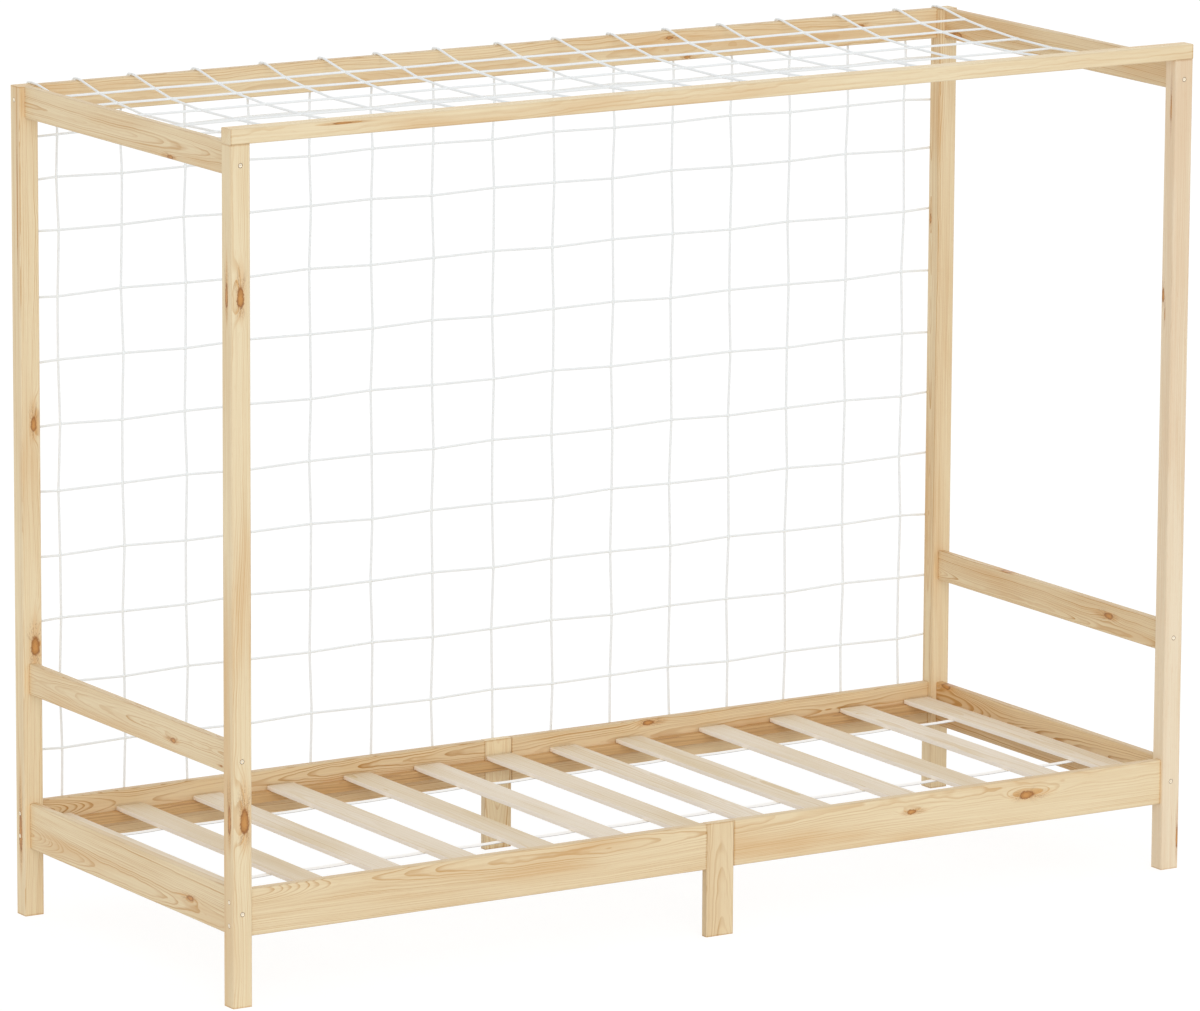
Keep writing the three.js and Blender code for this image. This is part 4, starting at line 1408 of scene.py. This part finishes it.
def floor_material(stage):
    """White floor that keeps a share of the shadows, and is open from below.

    Camera and glossy rays see white made of two parts: the lit floor and a steady glow.
    """
    material, w = new_material("stage_floor")
    w.tree.nodes.clear()
    path, seen = seen_as_white(w)
    lit_seen = w.node("ShaderNodeBsdfDiffuse", {"Color": [stage.shadow] * 3})[0]
    strength = 1 - FLOOR_LIT * stage.shadow
    glow = w.node("ShaderNodeEmission", {"Color": WHITE, "Strength": strength})[0]
    white = w.node("ShaderNodeAddShader", {0: lit_seen, 1: glow})[0]
    lit = w.node("ShaderNodeBsdfDiffuse", {"Color": stage.floor})[0]
    above = w.node("ShaderNodeMixShader", {0: seen, 1: lit, 2: white})[0]
    clear = w.node("ShaderNodeBsdfTransparent")[0]
    hidden = w.node("ShaderNodeNewGeometry")["Backfacing"] * path["Is Camera Ray"]
    result = w.node("ShaderNodeMixShader", {0: hidden, 1: above, 2: clear})[0]
    w.node("ShaderNodeOutputMaterial", {"Surface": result})
    return material


def camera_place():
    """The camera's matrix: turned round Z, tilted up from the ground and rolled about the view."""
    turn = Matrix.Rotation(CAMERA_AZIMUTH, 4, "Z")
    tilt = Matrix.Rotation(math.pi / 2 - CAMERA_ELEVATION, 4, "X")
    return Matrix.Translation(CAMERA_AT) @ turn @ tilt @ Matrix.Rotation(CAMERA_ROLL, 4, "Z")


class MakeStage(bpy.types.Operator):
    """Floor, light and camera"""

    bl_idname = "goal_bed.make_stage"
    bl_label = "Make Stage"

    def execute(self, context):
        scene = context.scene
        stage = scene.bed_stage
        scene.view_settings.view_transform = "Standard"
        corners = [(x * FLOOR_HALF, y * FLOOR_HALF, 0) for x, y in ((-1, -1), (1, -1), (1, 1), (-1, 1))]
        mesh = bpy.data.meshes.new("stage_floor")
        mesh.from_pydata(corners, [], [(0, 1, 2, 3)])
        mesh.materials.append(floor_material(stage))
        floor = add_object("stage_floor", mesh)
        self.make_world(scene, stage)
        for name, (direction, spread) in LAMPS.items():
            sun = bpy.data.lights.new(name, "SUN")
            sun.energy = getattr(stage, name)
            sun.angle = math.radians(spread)
            lamp = add_object(name, sun)
            lamp.rotation_euler = Vector(direction).to_track_quat("-Z", "Y").to_euler()
        data = bpy.data.cameras.new("camera")
        data.lens = stage.lens
        data.sensor_width = CAMERA_SENSOR
        data.clip_end = CAMERA_CLIP_END
        scene.camera = add_object("camera", data)
        scene.camera.matrix_world = camera_place()
        return {"FINISHED"}

    def make_world(self, scene, stage):
        """White where the camera or a gloss looks at it, and a softer white as light."""
        world = bpy.data.worlds.new("daylight")
        world.use_nodes = True
        w = Wiring(world.node_tree)
        _, seen = seen_as_white(w)
        strength = seen.times_plus(1 - stage.daylight, stage.daylight)
        w.feed(w.tree.nodes["Background"].inputs, {"Color": WHITE, "Strength": strength})
        scene.world = world


OPERATORS = (
    MakeStage, FinishBoards, FinishSlats, MakeNet, MakeTapes, MakeBolts, MakeStaples, MakeScrews
)


class GoalBedPanel(bpy.types.Panel):
    """Sizes and colours of the bed, and the steps that make it"""

    bl_idname = "VIEW3D_PT_goal_bed"
    bl_label = "Goal Bed"
    bl_space_type = "VIEW_3D"
    bl_region_type = "UI"
    bl_category = "Goal Bed"

    def draw(self, context):
        for key, settings in SETTINGS.items():
            box = self.layout.box()
            for label in settings.__annotations__:
                box.prop(getattr(context.scene, key), label)
        for operator in OPERATORS:
            self.layout.operator(operator.bl_idname)


CLASSES = (*SETTINGS.values(), *OPERATORS, GoalBedPanel)


def register():
    """Makes the settings, operators and panel known."""
    for made in CLASSES:
        bpy.utils.register_class(made)
    for key, settings in SETTINGS.items():
        setattr(bpy.types.Scene, key, PointerProperty(type=settings))


def unregister():
    """Takes them away again."""
    for key in SETTINGS:
        delattr(bpy.types.Scene, key)
    for made in reversed(CLASSES):
        bpy.utils.unregister_class(made)


def main():
    """Makes the whole bed and its stage."""
    register()
    bpy.ops.goal_bed.make_stage()
    bpy.ops.goal_bed.finish_boards()
    bpy.ops.goal_bed.finish_slats()
    bpy.ops.goal_bed.make_net()
    bpy.ops.goal_bed.make_tapes()
    bpy.ops.goal_bed.make_bolts()
    bpy.ops.goal_bed.make_staples()
    bpy.ops.goal_bed.make_screws()


if __name__ == "__main__":
    main()
